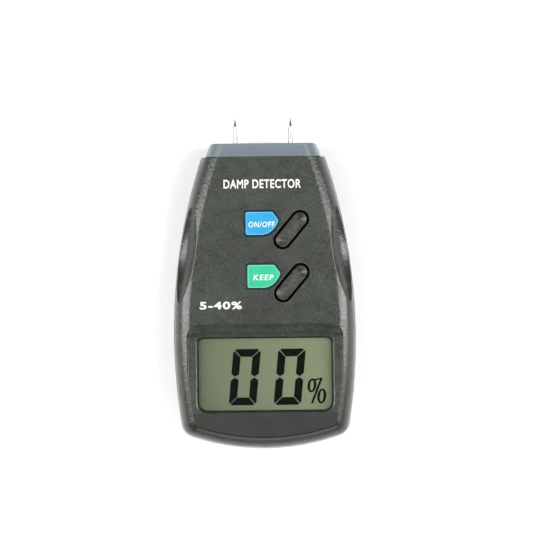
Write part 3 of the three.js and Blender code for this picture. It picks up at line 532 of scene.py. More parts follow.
def spark_abs(name, low, high, rub, roughness, grain_mm, depth_mm):
    """Injection-moulded ABS from a spark-eroded mould: a dull, pebbled skin that catches light in
    points, and is rubbed paler on its edges. Real grain is about 0.2 mm; it is drawn coarser so
    that it shows."""
    material, tree = start_material(name)
    place = add(tree, "ShaderNodeTexCoord").outputs["Object"]
    grain = add(tree, "ShaderNodeTexNoise", {"Scale": 1 / (grain_mm * mm), "Detail": 1.0, "Roughness": 0.5},
                {"Vector": place}).outputs["Fac"]
    pebbles = add(tree, "ShaderNodeTexNoise",
                  {"Scale": 0.45 / (grain_mm * mm), "Detail": 1.0}, {"Vector": place}).outputs["Fac"]
    flow = add(tree, "ShaderNodeTexNoise",
               {"Scale": 1 / (22 * mm), "Detail": 3.0}, {"Vector": place}).outputs["Fac"]
    smear = add(tree, "ShaderNodeTexNoise",
                {"Scale": 1 / (5 * mm), "Detail": 4.0, "Distortion": 0.6}, {"Vector": place}).outputs["Fac"]
    flow_part = add(tree, "ShaderNodeMath", {"operation": "MULTIPLY", 1: 0.35}, {0: flow}).outputs[0]
    speckle = add(tree, "ShaderNodeMath",
                  {"operation": "MULTIPLY_ADD", 1: 0.65}, {0: grain, 2: flow_part}).outputs[0]
    tone = add(tree, "ShaderNodeMapRange", {1: 0.36, 2: 0.64, 3: 0, 4: 1}, {0: speckle}).outputs[0]
    colour = add(tree, "ShaderNodeMix",
                 {"data_type": "RGBA", 6: linear(low), 7: linear(high)}, {0: tone}).outputs[2]
    inside = add(tree, "ShaderNodeAmbientOcclusion",
                 {"inside": True, "samples": 4, "Distance": 0.7 * mm}).outputs["AO"]
    worn = add(tree, "ShaderNodeMapRange", {1: 0.35, 2: 0.9, 3: 0.45, 4: 0}, {0: inside}).outputs[0]
    rubbed = add(tree, "ShaderNodeMix",
                 {"data_type": "RGBA", 7: linear(rub)}, {0: worn, 6: colour}).outputs[2]
    rough = add(tree, "ShaderNodeMapRange",
                {1: 0.3, 2: 0.7, 3: roughness - 0.05, 4: roughness + 0.06}, {0: smear}).outputs[0]
    height = add(tree, "ShaderNodeMath",
                 {"operation": "MULTIPLY_ADD", 1: 0.8}, {0: pebbles, 2: grain}).outputs[0]
    relief = add(tree, "ShaderNodeBump",
                 {"Distance": depth_mm * mm, "Strength": 0.9}, {"Height": height}).outputs[0]
    shader = add(tree, "ShaderNodeBsdfPrincipled", {"IOR": 1.53},
                 {"Base Color": rubbed, "Roughness": rough, "Normal": relief}).outputs[0]
    add(tree, "ShaderNodeOutputMaterial", {}, {"Surface": shader})
    return material


def coat(piece, material):
    """Gives a whole piece one material."""
    piece.data.materials.clear()
    piece.data.materials.append(material)
    piece.data.polygons.foreach_set("material_index", [0] * len(piece.data.polygons))


def polished_abs_painted_shade(name, low, high, roughness):
    """The same ABS where the mould is polished: even and smoother, with only faint flow lines and fine
    scratches. Its colour is darker than the textured skin's: painted shade for the band below the window."""
    material, tree = start_material(name)
    place = add(tree, "ShaderNodeTexCoord").outputs["Object"]
    flow = add(tree, "ShaderNodeTexNoise",
               {"Scale": 1 / (9 * mm), "Detail": 4.0}, {"Vector": place}).outputs["Fac"]
    tone = add(tree, "ShaderNodeMapRange", {1: 0.3, 2: 0.7, 3: 0, 4: 1}, {0: flow}).outputs[0]
    colour = add(tree, "ShaderNodeMix",
                 {"data_type": "RGBA", 6: linear(low), 7: linear(high)}, {0: tone}).outputs[2]
    rough = add(tree, "ShaderNodeMapRange",
                {1: 0.3, 2: 0.7, 3: roughness - 0.015, 4: roughness + 0.015}, {0: flow}).outputs[0]
    stretched = add(tree, "ShaderNodeMapping", {"Scale": (0.1, 1, 1)}, {"Vector": place}).outputs[0]
    scratch = add(tree, "ShaderNodeTexNoise",
                  {"Scale": 1 / (0.4 * mm), "Detail": 2.0}, {"Vector": stretched}).outputs["Fac"]
    relief = add(tree, "ShaderNodeBump",
                 {"Distance": 0.006 * mm, "Strength": 0.5}, {"Height": scratch}).outputs[0]
    shader = add(tree, "ShaderNodeBsdfPrincipled", {"IOR": 1.53},
                 {"Base Color": colour, "Roughness": rough, "Normal": relief}).outputs[0]
    add(tree, "ShaderNodeOutputMaterial", {}, {"Surface": shader})
    return material


case_abs = spark_abs("charcoal ABS", "#151913", "#2c3129", "#40453d", 0.31, 0.75, 0.08)
coat(front_shell, case_abs)
front_shell.data.materials.append(polished_abs_painted_shade("polished ABS with painted shade", "#191c17", "#1c1f1a", 0.3))
# The flat band below the window takes the polished ABS, whose darker colour is painted shade.
for face in front_shell.data.polygons:
    x, y, z = (v / mm for v in face.center)
    sunken = surround_z - 0.15 < z < face_z - 0.12 and face.normal.z > 0.8
    if sunken and y - lower_end < window_low_y - 0.7 and abs(x) < window_half + 2:
        face.material_index = 1
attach(front_shell, "meter")
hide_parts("front_shell")

# ------------------------------------------------------------------ rear shell
# The back half is the same ABS, and meets the front half at a fine seam. The battery bay is a box
# moulded into it, and its four posts take the case screws through to the front shell.

rear_radius = 3.6
rear_draft = 0.6
bay_half = 15.4
bay_wall = 1.2
bay_low_y = 4.7
bay_high_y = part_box("battery_snap")[1].y / mm - lower_end + 4.6
bay_top_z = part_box("battery")[1].z / mm + 0.1
door_thickness = 2.3
door_ledge = 1.3
ledge_z = 1.05
door_lip_z = 6.8
door_half = bay_half - door_ledge - 0.2
door_high_y = bay_high_y - door_ledge - 1.7
rib_inner, rib_low_z = 13.65, 3.1
boss_radius, boss_high_z = 3.9, 5.6
lead_way_half, lead_way_low_z, lead_way_high_z = 6.5, 11.3, 18.3


def rear_rings(inset, highest, edge=0.0):
    rings = []
    steps = 14
    for i in range(steps + 1):
        turn = math.pi / 2 * i / steps
        rings.append((
            rear_draft + rear_radius - (rear_radius - inset) * math.sin(turn),
            rear_radius - (rear_radius - inset) * math.cos(turn),
        ))
    rings.append((inset + rear_draft * 0.45, (rear_radius + highest) / 2))
    rings.append((inset, highest - edge))
    if edge:
        rings += [(inset + 0.3 * edge, highest - 0.3 * edge), (inset + edge, highest)]
    return [flat_ring(case_outline(across), z) for across, z in rings]


def door_way(gap, low_z):
    """The space the door fills, less a gap all round: narrow outside, wider inside, open below."""
    slim, wide = door_half - gap, door_half + door_ledge - gap
    way = block("way", -slim, slim, -1, door_high_y - gap, low_z, ledge_z + 2 * gap + 0.01)
    plate = block("plate", -wide, wide, -1, door_high_y + door_ledge - gap,
                  ledge_z + gap, door_thickness + (0.1 if gap == 0 else 0))
    lip = block("lip", -wide, wide, -1, 3.0, ledge_z + gap, door_lip_z - gap)
    boolean(way, plate, "UNION")
    return boolean(way, lip, "UNION")


rear_shell = loft("rear_shell_skin", rear_rings(0.0, parting_z - seam, edge=0.22))
slice_off(rear_shell, (0, upper_end, parting_z), (0, 1, -end_lean / (face_z - parting_z)))
hollow = loft("hollow", rear_rings(wall, parting_z + 3))
slice_off(hollow, (0, end_wall_y, 0), (0, 1, 0))
boolean(rear_shell, hollow)
bay = block("bay", -bay_half - bay_wall, bay_half + bay_wall, bay_low_y, bay_high_y + bay_wall,
            wall - 0.4, bay_top_z + bay_wall)
room = block("room", -bay_half, bay_half, bay_low_y + bay_wall, bay_high_y, -1, bay_top_z)
boolean(bay, room)
boolean(rear_shell, bay, "UNION")
for y in (18, 42):
    for sign in (-1, 1):
        left_x, right_x = sorted((sign * rib_inner, sign * (bay_half + 0.2)))
        rib = block("rib", left_x, right_x, y, y + bay_wall, rib_low_z, bay_top_z + 0.2)
        boolean(rear_shell, rib, "UNION")
for x, y in case_posts:
    boolean(rear_shell, tube("post", x, y, post_radius, wall - 0.5, parting_z), "UNION")
    boolean(rear_shell, tube("boss", x, y, boss_radius, wall - 0.5, boss_high_z), "UNION")
for x, y in case_posts:
    boolean(rear_shell, tube("hole", x, y, post_bore, -1, parting_z + 1))
    sink = [(3.15, -0.5), (3.15, -0.01), (2.85, 0.1), (2.66, 0.32), (2.6, 0.6), (2.6, 4)]
    boolean(rear_shell, loft("sink", [
        flat_ring(arc(x, y, r, 0, 2 * math.pi * 39 / 40, 39), z) for r, z in sink
    ]))
boolean(rear_shell, door_way(0, -1))
lead_way = block("lead_way", -lead_way_half, lead_way_half, bay_high_y - 1, bay_high_y + bay_wall + 1,
                 lead_way_low_z, lead_way_high_z)
boolean(rear_shell, lead_way)
neck_way = loft("neck_way", rear_rings(block_neck, parting_z + 3))
slice_off(neck_way, (0, end_wall_y - 1, 0), (0, -1, 0))
boolean(rear_shell, neck_way)
soften(rear_shell)
coat(rear_shell, case_abs)
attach(rear_shell, "meter")
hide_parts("rear_shell")

# ------------------------------------------------------------------ battery door
# A flat ABS slide whose stepped edges run under the rear shell, with an end lip that carries on the
# case's outside. Five bars in a thumb dish give it grip.

dish_half, dish_length = 8, 12
dish_y = door_high_y - 14
bar_half, bar_pitch = 6.6, 2

door = loft("battery_door_slide", rear_rings(0.0, parting_z - seam))
boolean(door, door_way(0.25, -1), "INTERSECT")
inside = loft("inside", rear_rings(wall, parting_z + 3))
boolean(inside, block("above", -40, 40, -5, 200, -2, door_thickness))
boolean(door, inside)
boolean(door, block("trim", -40, 40, -5, 200, door_lip_z - 0.25, 40))
dish = loft("dish", [
    flat_ring(rounded_box(-dish_half - grow, dish_half + grow, dish_y - grow, dish_y + dish_length + grow,
                          2 + grow, 2 + grow), z)
    for grow, z in ((0.35, -0.5), (0.35, -0.01), (0.12, 0.1), (0.0, 0.3), (-0.1, 0.5), (-0.3, 0.6))
])
for i in range(5):
    y = dish_y + 2 + bar_pitch * i
    rail = [(-0.5, 0.9), (-0.42, 0.35), (-0.2, 0.14), (0.2, 0.14), (0.42, 0.35), (0.5, 0.9)]
    ends = [[(x, y + dy, z) for dy, z in rail] for x in (-bar_half, bar_half)]
    boolean(dish, outward(loft("bar", ends)))
boolean(door, dish)
soften(door)
coat(door, case_abs)
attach(door, "battery_door")
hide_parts("battery_door")

# ------------------------------------------------------------------ electrode block
# The end piece is a smoother blue-grey ABS moulding. It tapers outwards to the pins, and its
# neck and flange are held between the two shells.

block_inset = 1.5
block_top_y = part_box("electrode_block")[1].y / mm - lower_end
head_low_y = upper_end + 0.25
root_half, root_length = 14.2, 12


def whole_rings(inset):
    return rear_rings(inset, parting_z)[:-1] + front_rings(inset, parting_z)


def side_prism(name, outline, half):
    """An outline in Y and Z, drawn out to both sides along X."""
    return outward(loft(name, [[(x, y, z) for y, z in outline] for x in (-half, half)]))


def eased(points, radius, steps=6):
    """A polygon with rounded corners, each given as its place and its share of the radius, or 0."""
    out = []
    count = len(points)
    for i, (a, b, share) in enumerate(points):
        if not share:
            out.append((a, b))
            continue
        p = Vector((a, b))
        before, after = Vector(points[i - 1][:2]) - p, Vector(points[(i + 1) % count][:2]) - p
        half = before.angle(after) / 2
        back = radius * share / math.tan(half)
        start, end = p + before.normalized() * back, p + after.normalized() * back
        towards = (before.normalized() + after.normalized()).normalized()
        middle = p + towards * (radius * share / math.sin(half))
        turn = (start - middle).angle_signed(end - middle)
        for k in range(steps + 1):
            angle = -turn * k / steps
            arm = Matrix.Rotation(angle, 2) @ (start - middle)
            out.append(tuple(middle + arm))
    return out


electrode_block = loft("electrode_block_moulding", whole_rings(block_inset))
front_edge, rear_edge = face_z - block_inset, block_inset
lean = end_lean * (front_edge - parting_z) / (face_z - parting_z)
plain_profile = [
    (head_low_y - lean, rear_edge - 1), (block_top_y - 1.3, rear_edge - 1), (block_top_y, rear_edge + 1.3),
    (block_top_y, front_edge - 1.3), (block_top_y - 1.3, front_edge + 1),
    (head_low_y - lean, front_edge + 1), (head_low_y, parting_z),
]
corner_points = [(y, z, 1 if 0 < i < 5 else 0) for i, (y, z) in enumerate(plain_profile)]
boolean(electrode_block, side_prism("ends", eased(corner_points, 0.7), 40), "INTERSECT")
neck = loft("neck", whole_rings(block_neck + 0.3))
slice_off(neck, (0, end_wall_y - 0.5, 0), (0, -1, 0))
slice_off(neck, (0, upper_end + 1, 0), (0, 1, 0))
boolean(electrode_block, neck, "UNION")
flange = loft("flange", whole_rings(2.6))
slice_off(flange, (0, end_wall_y - 2.3, 0), (0, -1, 0))
slice_off(flange, (0, end_wall_y - 0.3, 0), (0, 1, 0))
boolean(electrode_block, flange, "UNION")
root = block("root", -root_half, root_half, block_top_y - root_length, end_wall_y, 6, 24)
boolean(electrode_block, root, "UNION")

pin_names = ("front_left", "front_right", "rear_left", "rear_right")
pin_axis = {}
for name in pin_names:
    low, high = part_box("pin_" + name)
    pin_axis[name] = ((low.x + high.x) / 2 / mm, (low.z + high.z) / 2 / mm)


def turned(name, profile, axis, segments=40):
    """A solid turned round a line along Y, from a profile of radius and Y that closes on itself."""
    x, z = axis
    rings = []
    for i in range(segments):
        turn = 2 * math.pi * i / segments
        rings.append([(x + r * math.cos(turn), y, z + r * math.sin(turn)) for r, y in profile])
    count = len(profile)
    points = [p for ring in rings for p in ring]
    faces = []
    for i in range(segments):
        for k in range(count):
            a, b = i * count + k, i * count + (k + 1) % count
            c, d = ((i + 1) % segments) * count + (k + 1) % count, ((i + 1) % segments) * count + k
            faces.append((a, b, c, d))
    piece = make_piece(name, points, faces)
    made = bmesh.new()
    made.from_mesh(piece.data)
    bmesh.ops.remove_doubles(made, verts=made.verts[:], dist=1e-8)
    bmesh.ops.dissolve_degenerate(made, edges=made.edges[:], dist=1e-9)
    bmesh.ops.recalc_face_normals(made, faces=made.faces[:])
    made.to_mesh(piece.data)
    made.free()
    return piece


for name in pin_names:
    bore = [(0, 90), (2.1, 90), (2.1, block_top_y - 0.25), (2.17, block_top_y - 0.08),
            (2.35, block_top_y + 0.01), (2.35, 140), (0, 140)]
    boolean(electrode_block, turned("bore", bore, pin_axis[name]))
soften(electrode_block)
block_abs = spark_abs("blue-grey ABS", "#525f66", "#5c686e", "#79868d", 0.34, 0.4, 0.02)
coat(electrode_block, block_abs)
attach(electrode_block, "meter")
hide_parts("electrode_block")

# ------------------------------------------------------------------ pins and sockets
# Four hardened steel needles are ground to long points and pressed into turned brass sockets. On
# each side the front and rear pins are joined, and make one electrode.


def metal(name, low, high, roughness, line_mm, line_depth_mm, lines="Y"):
    """A turned or ground metal: bright, with fine lines left round it by the tool."""
    material, tree = start_material(name)
    place = add(tree, "ShaderNodeTexCoord").outputs["Object"]
    stretch = {"Y": (0.04, 1, 0.04), "Z": (0.04, 0.04, 1)}[lines]
    along = add(tree, "ShaderNodeMapping", {"Scale": stretch}, {"Vector": place}).outputs[0]
    marks = add(tree, "ShaderNodeTexNoise",
                {"Scale": 1 / (line_mm * mm), "Detail": 3.0}, {"Vector": along}).outputs["Fac"]
    stain = add(tree, "ShaderNodeTexNoise",
                {"Scale": 1 / (1.6 * mm), "Detail": 4.0}, {"Vector": place}).outputs["Fac"]
    tone = add(tree, "ShaderNodeMapRange", {1: 0.3, 2: 0.7, 3: 0, 4: 1}, {0: stain}).outputs[0]
    colour = add(tree, "ShaderNodeMix",
                 {"data_type": "RGBA", 6: linear(low), 7: linear(high)}, {0: tone}).outputs[2]
    rough = add(tree, "ShaderNodeMapRange",
                {1: 0.3, 2: 0.7, 3: roughness * 0.7, 4: roughness * 1.3}, {0: marks}).outputs[0]
    relief = add(tree, "ShaderNodeBump",
                 {"Distance": line_depth_mm * mm, "Strength": 0.6}, {"Height": marks}).outputs[0]
    shader = add(tree, "ShaderNodeBsdfPrincipled", {"Metallic": 1.0},
                 {"Base Color": colour, "Roughness": rough, "Normal": relief}).outputs[0]
    add(tree, "ShaderNodeOutputMaterial", {}, {"Surface": shader})
    return material


ground_steel = metal("ground steel", "#7d7f7f", "#9a9b9a", 0.36, 0.12, 0.002)
turned_brass = metal("turned brass", "#8c6f34", "#a98d4d", 0.24, 0.2, 0.004)
zinc_steel = metal("zinc-plated steel", "#9a9ea3", "#b4b7b8", 0.3, 0.3, 0.004, lines="Z")
pin_tip_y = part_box("pin_front_left")[1].y / mm - lower_end
pin_root_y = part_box("pin_front_left")[0].y / mm - lower_end
pin_radius = 0.8
pin_point = 3.9
for name in pin_names:
    needle = [(0, pin_root_y), (pin_radius, pin_root_y), (pin_radius, pin_tip_y - pin_point)]
    for k in range(1, 9):
        share = k / 8
        thin = pin_radius * (1 - share) ** 1.15 + 0.03 * share
        needle.append((thin, pin_tip_y - pin_point * (1 - share)))
    needle[-1] = (0.03, pin_tip_y - 0.03)
    needle.append((0, pin_tip_y))
    pin = turned("pin_needle_" + name, needle, pin_axis[name], 28)
    soften(pin, 50)
    coat(pin, ground_steel)
    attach(pin, "meter")
    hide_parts("pin_" + name)

    top, back = block_top_y - 0.15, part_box("pin_socket_" + name)[0].y / mm - lower_end
    bush = [(0, back), (1.8, back), (2, back + 0.2), (2, top - 0.15), (1.88, top), (1.1, top),
            (0.95, top - 0.15), (0.92, top - 0.4), (0.92, block_top_y - 8.3), (0, block_top_y - 8.3)]
    socket = turned("pin_bush_" + name, bush, pin_axis[name], 32)
    soften(socket)
    coat(socket, turned_brass)
    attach(socket, "meter")
    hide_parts("pin_socket_" + name)

# ------------------------------------------------------------------ keys
# Both keys are domes of one silicone keypad, long and slanted, that stand a little proud of their
# slots. Below them the keypad's skirts, its mat and the carbon pills stay hidden in the case.


def silicone(name, low, high, roughness, grain_mm=0.35, depth_mm=0.015):
    """Moulded silicone rubber: dull and a little waxy, with fine dust in its pores. Deep in the gap round a
    key it is painted near-black and its shine is taken away: painted shade. Real grain is finer than 0.1 mm,
    and is drawn coarser so that it shows."""
    material, tree = start_material(name)
    place = add(tree, "ShaderNodeTexCoord").outputs["Object"]
    grain = add(tree, "ShaderNodeTexNoise", {"Scale": 1 / (grain_mm * mm), "Detail": 3.0, "Roughness": 0.6},
                {"Vector": place}).outputs["Fac"]
    dust = add(tree, "ShaderNodeTexNoise",
               {"Scale": 1 / (2.5 * mm), "Detail": 5.0, "Distortion": 0.4}, {"Vector": place}).outputs["Fac"]
    dust_part = add(tree, "ShaderNodeMath", {"operation": "MULTIPLY", 1: 0.5}, {0: dust}).outputs[0]
    both = add(tree, "ShaderNodeMath",
               {"operation": "MULTIPLY_ADD", 1: 0.5}, {0: grain, 2: dust_part}).outputs[0]
    tone = add(tree, "ShaderNodeMapRange", {1: 0.38, 2: 0.62, 3: 0, 4: 1}, {0: both}).outputs[0]
    colour = add(tree, "ShaderNodeMix",
                 {"data_type": "RGBA", 6: linear(low), 7: linear(high)}, {0: tone}).outputs[2]
    relief = add(tree, "ShaderNodeBump",
                 {"Distance": depth_mm * mm, "Strength": 0.8}, {"Height": grain}).outputs[0]
    # Painted shade: where ambient occlusion finds a crevice, the colour goes to near-black and the shine
    # goes down.
    open_air = add(tree, "ShaderNodeAmbientOcclusion", {"samples": 8, "Distance": 1.6 * mm}).outputs["AO"]
    unshaded_share = add(tree, "ShaderNodeMapRange", {1: 0.4, 2: 0.8, 3: 0, 4: 1}, {0: open_air}).outputs[0]
    painted_shade_colour = add(tree, "ShaderNodeMix",
                {"data_type": "RGBA", 6: linear("#020202")}, {0: unshaded_share, 7: colour}).outputs[2]
    rough = add(tree, "ShaderNodeMapRange",
                {1: 0.3, 2: 0.7, 3: roughness - 0.06, 4: roughness + 0.08}, {0: dust}).outputs[0]
    shine = add(tree, "ShaderNodeMapRange", {1: 0.3, 2: 0.7, 3: 0.02, 4: 0.5}, {0: unshaded_share}).outputs[0]
    shader = add(tree, "ShaderNodeBsdfPrincipled", {"IOR": 1.43}, {
        "Base Color": painted_shade_colour, "Roughness": rough, "Specular IOR Level": shine, "Normal": relief,
    }).outputs[0]
    add(tree, "ShaderNodeOutputMaterial", {}, {"Surface": shader})
    return material


key_silicone = silicone("charcoal silicone", "#1a1c18", "#393b36", 0.36, grain_mm=0.7, depth_mm=0.05)
mat_silicone = silicone("keypad silicone", "#2c2c2a", "#383835", 0.7)
carbon_rubber = silicone("carbon rubber", "#0e0e0e", "#191919", 0.6)
key_low_z, key_high_z = power_box[0].z / mm, power_box[1].z / mm
flange_z = (face_z - wall - 0.2 - 1.2, face_z - wall - 0.2)
key_foot, key_flange, key_crown = key_radius - 0.35, key_radius + 1.35, key_radius - 0.2
crown_shape = [(0.0, 1.5), (0.01, 1.2), (0.035, 0.96), (0.08, 0.8), (0.16, 0.67), (0.28, 0.56),
               (0.42, 0.44), (0.57, 0.31), (0.72, 0.18), (0.86, 0.07), (0.95, 0.015), (0.995, 0.0)]
for name in key_y:
    rings = [
        flat_ring(key_outline(name, key_foot), key_low_z),
        flat_ring(key_outline(name, key_foot), flange_z[0]),
        flat_ring(key_outline(name, key_flange), flange_z[0]),
        flat_ring(key_outline(name, key_flange), flange_z[1]),
        flat_ring(key_outline(name, key_radius), flange_z[1]),
    ]
    for share, drop in crown_shape:
        rings.append(flat_ring(key_outline(name, key_crown * (1 - share)), key_high_z - drop))
    key = loft(name + "_key_dome", rings)
    soften(key, 40)
    coat(key, key_silicone)
    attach(key, name + "_key")
    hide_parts(name + "_key")


def dress(node, material):
    """Gives a node that keeps its own mesh a finished material."""
    coat(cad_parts[node], material)


dress("keypad_mat", mat_silicone)
skirt_wall = 0.55
for name in key_y:
    dress(name + "_key_pill", carbon_rubber)
    low, high = (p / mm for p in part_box(name + "_key_skirt"))
    foot = (high.x - low.x) / 2 - math.cos(key_angle) * key_straight / 2
    head = key_radius - 0.2 + skirt_wall
    web = []
    for share in (0.0, 0.12, 0.3, 0.5, 0.7, 0.88, 1.0):
        web.append((foot + (head - foot) * smooth(share), low.z + (high.z - low.z) * share))
    skirt = loft(name + "_skirt_web", [flat_ring(key_outline(name, r), z) for r, z in web])
    bore = [(web[0][0], low.z - 0.1)] + web + [(web[-1][0], high.z + 0.1)]
    boolean(skirt, loft("bore", [flat_ring(key_outline(name, r - skirt_wall), z) for r, z in bore]))
    soften(skirt)
    coat(skirt, mat_silicone)
    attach(skirt, "meter")
    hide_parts(name + "_key_skirt")
    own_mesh(skirt)

# ------------------------------------------------------------------ key labels
# Each key has a printed polycarbonate tag stuck into a shallow seat beside it: a rim inked near-black as
# painted shade, a pale line, and a bright field with its word in white.


def print_gloss(name, low, high, roughness=0.3, shine=0.5):
    """Screen-printed ink under a thin gloss film: a flat, full colour, a little uneven where the
    film lies. The mesh of the screen is about 0.1 mm, and is drawn coarser so that it shows."""
    material, tree = start_material(name)
    place = add(tree, "ShaderNodeTexCoord").outputs["Object"]
    cloud = add(tree, "ShaderNodeTexNoise",
                {"Scale": 1 / (3 * mm), "Detail": 4.0}, {"Vector": place}).outputs["Fac"]
    dots = add(tree, "ShaderNodeTexNoise",
               {"Scale": 1 / (0.25 * mm), "Detail": 2.0}, {"Vector": place}).outputs["Fac"]
    tone = add(tree, "ShaderNodeMapRange", {1: 0.3, 2: 0.7, 3: 0, 4: 1}, {0: cloud}).outputs[0]
    colour = add(tree, "ShaderNodeMix",
                 {"data_type": "RGBA", 6: linear(low), 7: linear(high)}, {0: tone}).outputs[2]
    rough = add(tree, "ShaderNodeMapRange",
                {1: 0.3, 2: 0.7, 3: roughness - 0.05, 4: roughness + 0.07}, {0: dots}).outputs[0]
    relief = add(tree, "ShaderNodeBump",
                 {"Distance": 0.004 * mm, "Strength": 0.5}, {"Height": dots}).outputs[0]
    shader = add(tree, "ShaderNodeBsdfPrincipled", {"IOR": 1.58, "Specular IOR Level": shine},
                 {"Base Color": colour, "Roughness": rough, "Normal": relief}).outputs[0]
    add(tree, "ShaderNodeOutputMaterial", {}, {"Surface": shader})
    return material


# The edge inks are near-black with little shine: painted shade on each tag's rounded rim and sides.
label_inks = {
    "power": [
        print_gloss("blue tag edge painted shade", "#042231", "#062a3c", shine=0.15),
        print_gloss("blue tag line", "#579bbd", "#62a5c6"),
        print_gloss("blue tag field", "#027fab", "#0388b5"),
    ],
    "hold": [
        print_gloss("green tag edge painted shade", "#062a20", "#083327", shine=0.15),
        print_gloss("green tag line", "#66ab97", "#70b5a1"),
        print_gloss("green tag field", "#129a72", "#18a27a"),
    ],
}
white_ink = print_gloss("white ink", "#bfc1bf", "#cccecb", 0.4)
edge_width, line_width = 0.8, 0.3
ink_height = 0.02


def lettering(name, words, x, y, width, height, z, heavy=0.0, lean=0.0, gap=1.0):
    """Raised ink in plain capitals, centred on x and y and fitted to a width and height."""
    curve = bpy.data.curves.new(name, "FONT")
    curve.body = words
    curve.offset = heavy
    curve.space_character = gap
    curve.shear = lean
    curve.extrude = 0.5
    curve.resolution_u = 6
    holder = bpy.data.objects.new(name + "_draft", curve)
    bpy.context.scene.collection.objects.link(holder)
    bpy.context.view_layer.update()
    mesh = bpy.data.meshes.new_from_object(holder.evaluated_get(bpy.context.evaluated_depsgraph_get()))
    bpy.data.objects.remove(holder)
    xs, ys = [v.co.x for v in mesh.vertices], [v.co.y for v in mesh.vertices]
    sx, sy = width / (max(xs) - min(xs)), height / (max(ys) - min(ys))
    mid_x, mid_y = (max(xs) + min(xs)) / 2, (max(ys) + min(ys)) / 2
    for v in mesh.vertices:
        v.co = Vector((
            (x + (v.co.x - mid_x) * sx) * mm, (y + lower_end + (v.co.y - mid_y) * sy) * mm,
            (z + v.co.z * ink_height) * mm,
        ))
    piece = bpy.data.objects.new(name, mesh)
    bpy.context.scene.collection.objects.link(piece)
    return piece


for name, word, word_width in (("power", "ON/OFF", 10.0), ("hold", "KEEP", 7.7)):
    layers = [(0.0, label_bottom), (0.0, label_top - 0.12), (0.05, label_top - 0.05),
              (0.16, label_top - 0.01), (edge_width, label_top), (edge_width + line_width, label_top)]
    tag = loft(name + "_tag", [flat_ring(label_outline(name, inset), z) for inset, z in layers])
    for layer_ink in label_inks[name]:
        tag.data.materials.append(layer_ink)
    for face in tag.data.polygons:
        on_top = face.center.z > (label_top - 0.002) * mm
        face.material_index = (2 if len(face.vertices) > 4 else 1) if on_top else 0
    soften(tag)
    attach(tag, "meter")
    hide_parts(name + "_label")
    low = label_boxes[name][0]
    word_x, word_y = low.x + 0.49 * label_length, low.y - lower_end + 0.46 * label_height
    ink = lettering(name + "_word", word, word_x, word_y, word_width, 2.1, label_top + 0.012,
                    heavy=0.018, lean=0.12, gap=1.2)
    coat(ink, white_ink)
    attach(ink, "meter")

# ------------------------------------------------------------------ printing on the case
# White pad-printed capitals lie on the textured face: what the tool is, above the keys, and
# its plain working range, beside the lower key.

for name, words, x, y, width, height, heavy, gap in (
    ("case_title", "DAMP DETECTOR", -0.4, 101.3, 29.4, 3.4, 0.022, 1.1),
    ("case_range", "5-40%", -16.6, 55.3, 16.0, 2.9, 0.03, 1.14),
):
    ink = lettering(name, words, x, y, width, height, face_z + 0.012, heavy=heavy, gap=gap)
    coat(ink, white_ink)
    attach(ink, "meter")

# ------------------------------------------------------------------ display
# A clear acrylic window closes the surround from inside. Behind it lies the liquid crystal cell:
# two glasses with a grey-green reflector, whose dark segments seem to float just above it.


def clear_pane(name, tint, alpha, roughness):
    """A polished clear sheet, seen only by its shine, with faint haze from handling."""
    material, tree = start_material(name)
    place = add(tree, "ShaderNodeTexCoord").outputs["Object"]
    haze = add(tree, "ShaderNodeTexNoise",
               {"Scale": 1 / (9 * mm), "Detail": 5.0}, {"Vector": place}).outputs["Fac"]
    rough = add(tree, "ShaderNodeMapRange",
                {1: 0.3, 2: 0.7, 3: roughness, 4: roughness + 0.06}, {0: haze}).outputs[0]
    shader = add(tree, "ShaderNodeBsdfPrincipled",
                 {"IOR": 1.49, "Alpha": alpha, "Base Color": linear(tint)}, {"Roughness": rough}).outputs[0]
    add(tree, "ShaderNodeOutputMaterial", {}, {"Surface": shader})
    return material


def reflector(name, left, right, roughness=0.42):
    """The cell's rear film: fine metallic flake under a green-grey polariser, lighter to one side
    where it takes the light. Real flake is finer than 0.1 mm, and is drawn coarser so that it shows."""
    material, tree = start_material(name)
    place = add(tree, "ShaderNodeTexCoord").outputs["Object"]
    across = add(tree, "ShaderNodeSeparateXYZ", {}, {0: place}).outputs[0]
    flake = add(tree, "ShaderNodeTexNoise",
                {"Scale": 1 / (0.3 * mm), "Detail": 2.0}, {"Vector": place}).outputs["Fac"]
    tone = add(tree, "ShaderNodeMapRange", {1: -0.026, 2: 0.026, 3: 0.0, 4: 0.9}, {0: across}).outputs[0]
    speck = add(tree, "ShaderNodeMath",
                {"operation": "MULTIPLY_ADD", 1: 0.12}, {0: flake, 2: tone}).outputs[0]
    colour = add(tree, "ShaderNodeMix",
                 {"data_type": "RGBA", 6: linear(left), 7: linear(right)}, {0: speck}).outputs[2]
    rough = add(tree, "ShaderNodeMapRange",
                {1: 0.3, 2: 0.7, 3: roughness - 0.05, 4: roughness + 0.05}, {0: flake}).outputs[0]
    relief = add(tree, "ShaderNodeBump",
                 {"Distance": 0.003 * mm, "Strength": 0.4}, {"Height": flake}).outputs[0]
    shader = add(tree, "ShaderNodeBsdfPrincipled", {"IOR": 1.5},
                 {"Base Color": colour, "Roughness": rough, "Normal": relief}).outputs[0]
    add(tree, "ShaderNodeOutputMaterial", {}, {"Surface": shader})
    return material


acrylic = clear_pane("clear acrylic", "#0c0e0c", 0.06, 0.04)
cell_glass = clear_pane("cell glass", "#0c100c", 0.06, 0.03)
cell_film = reflector("cell reflector", "#646c53", "#808a67")
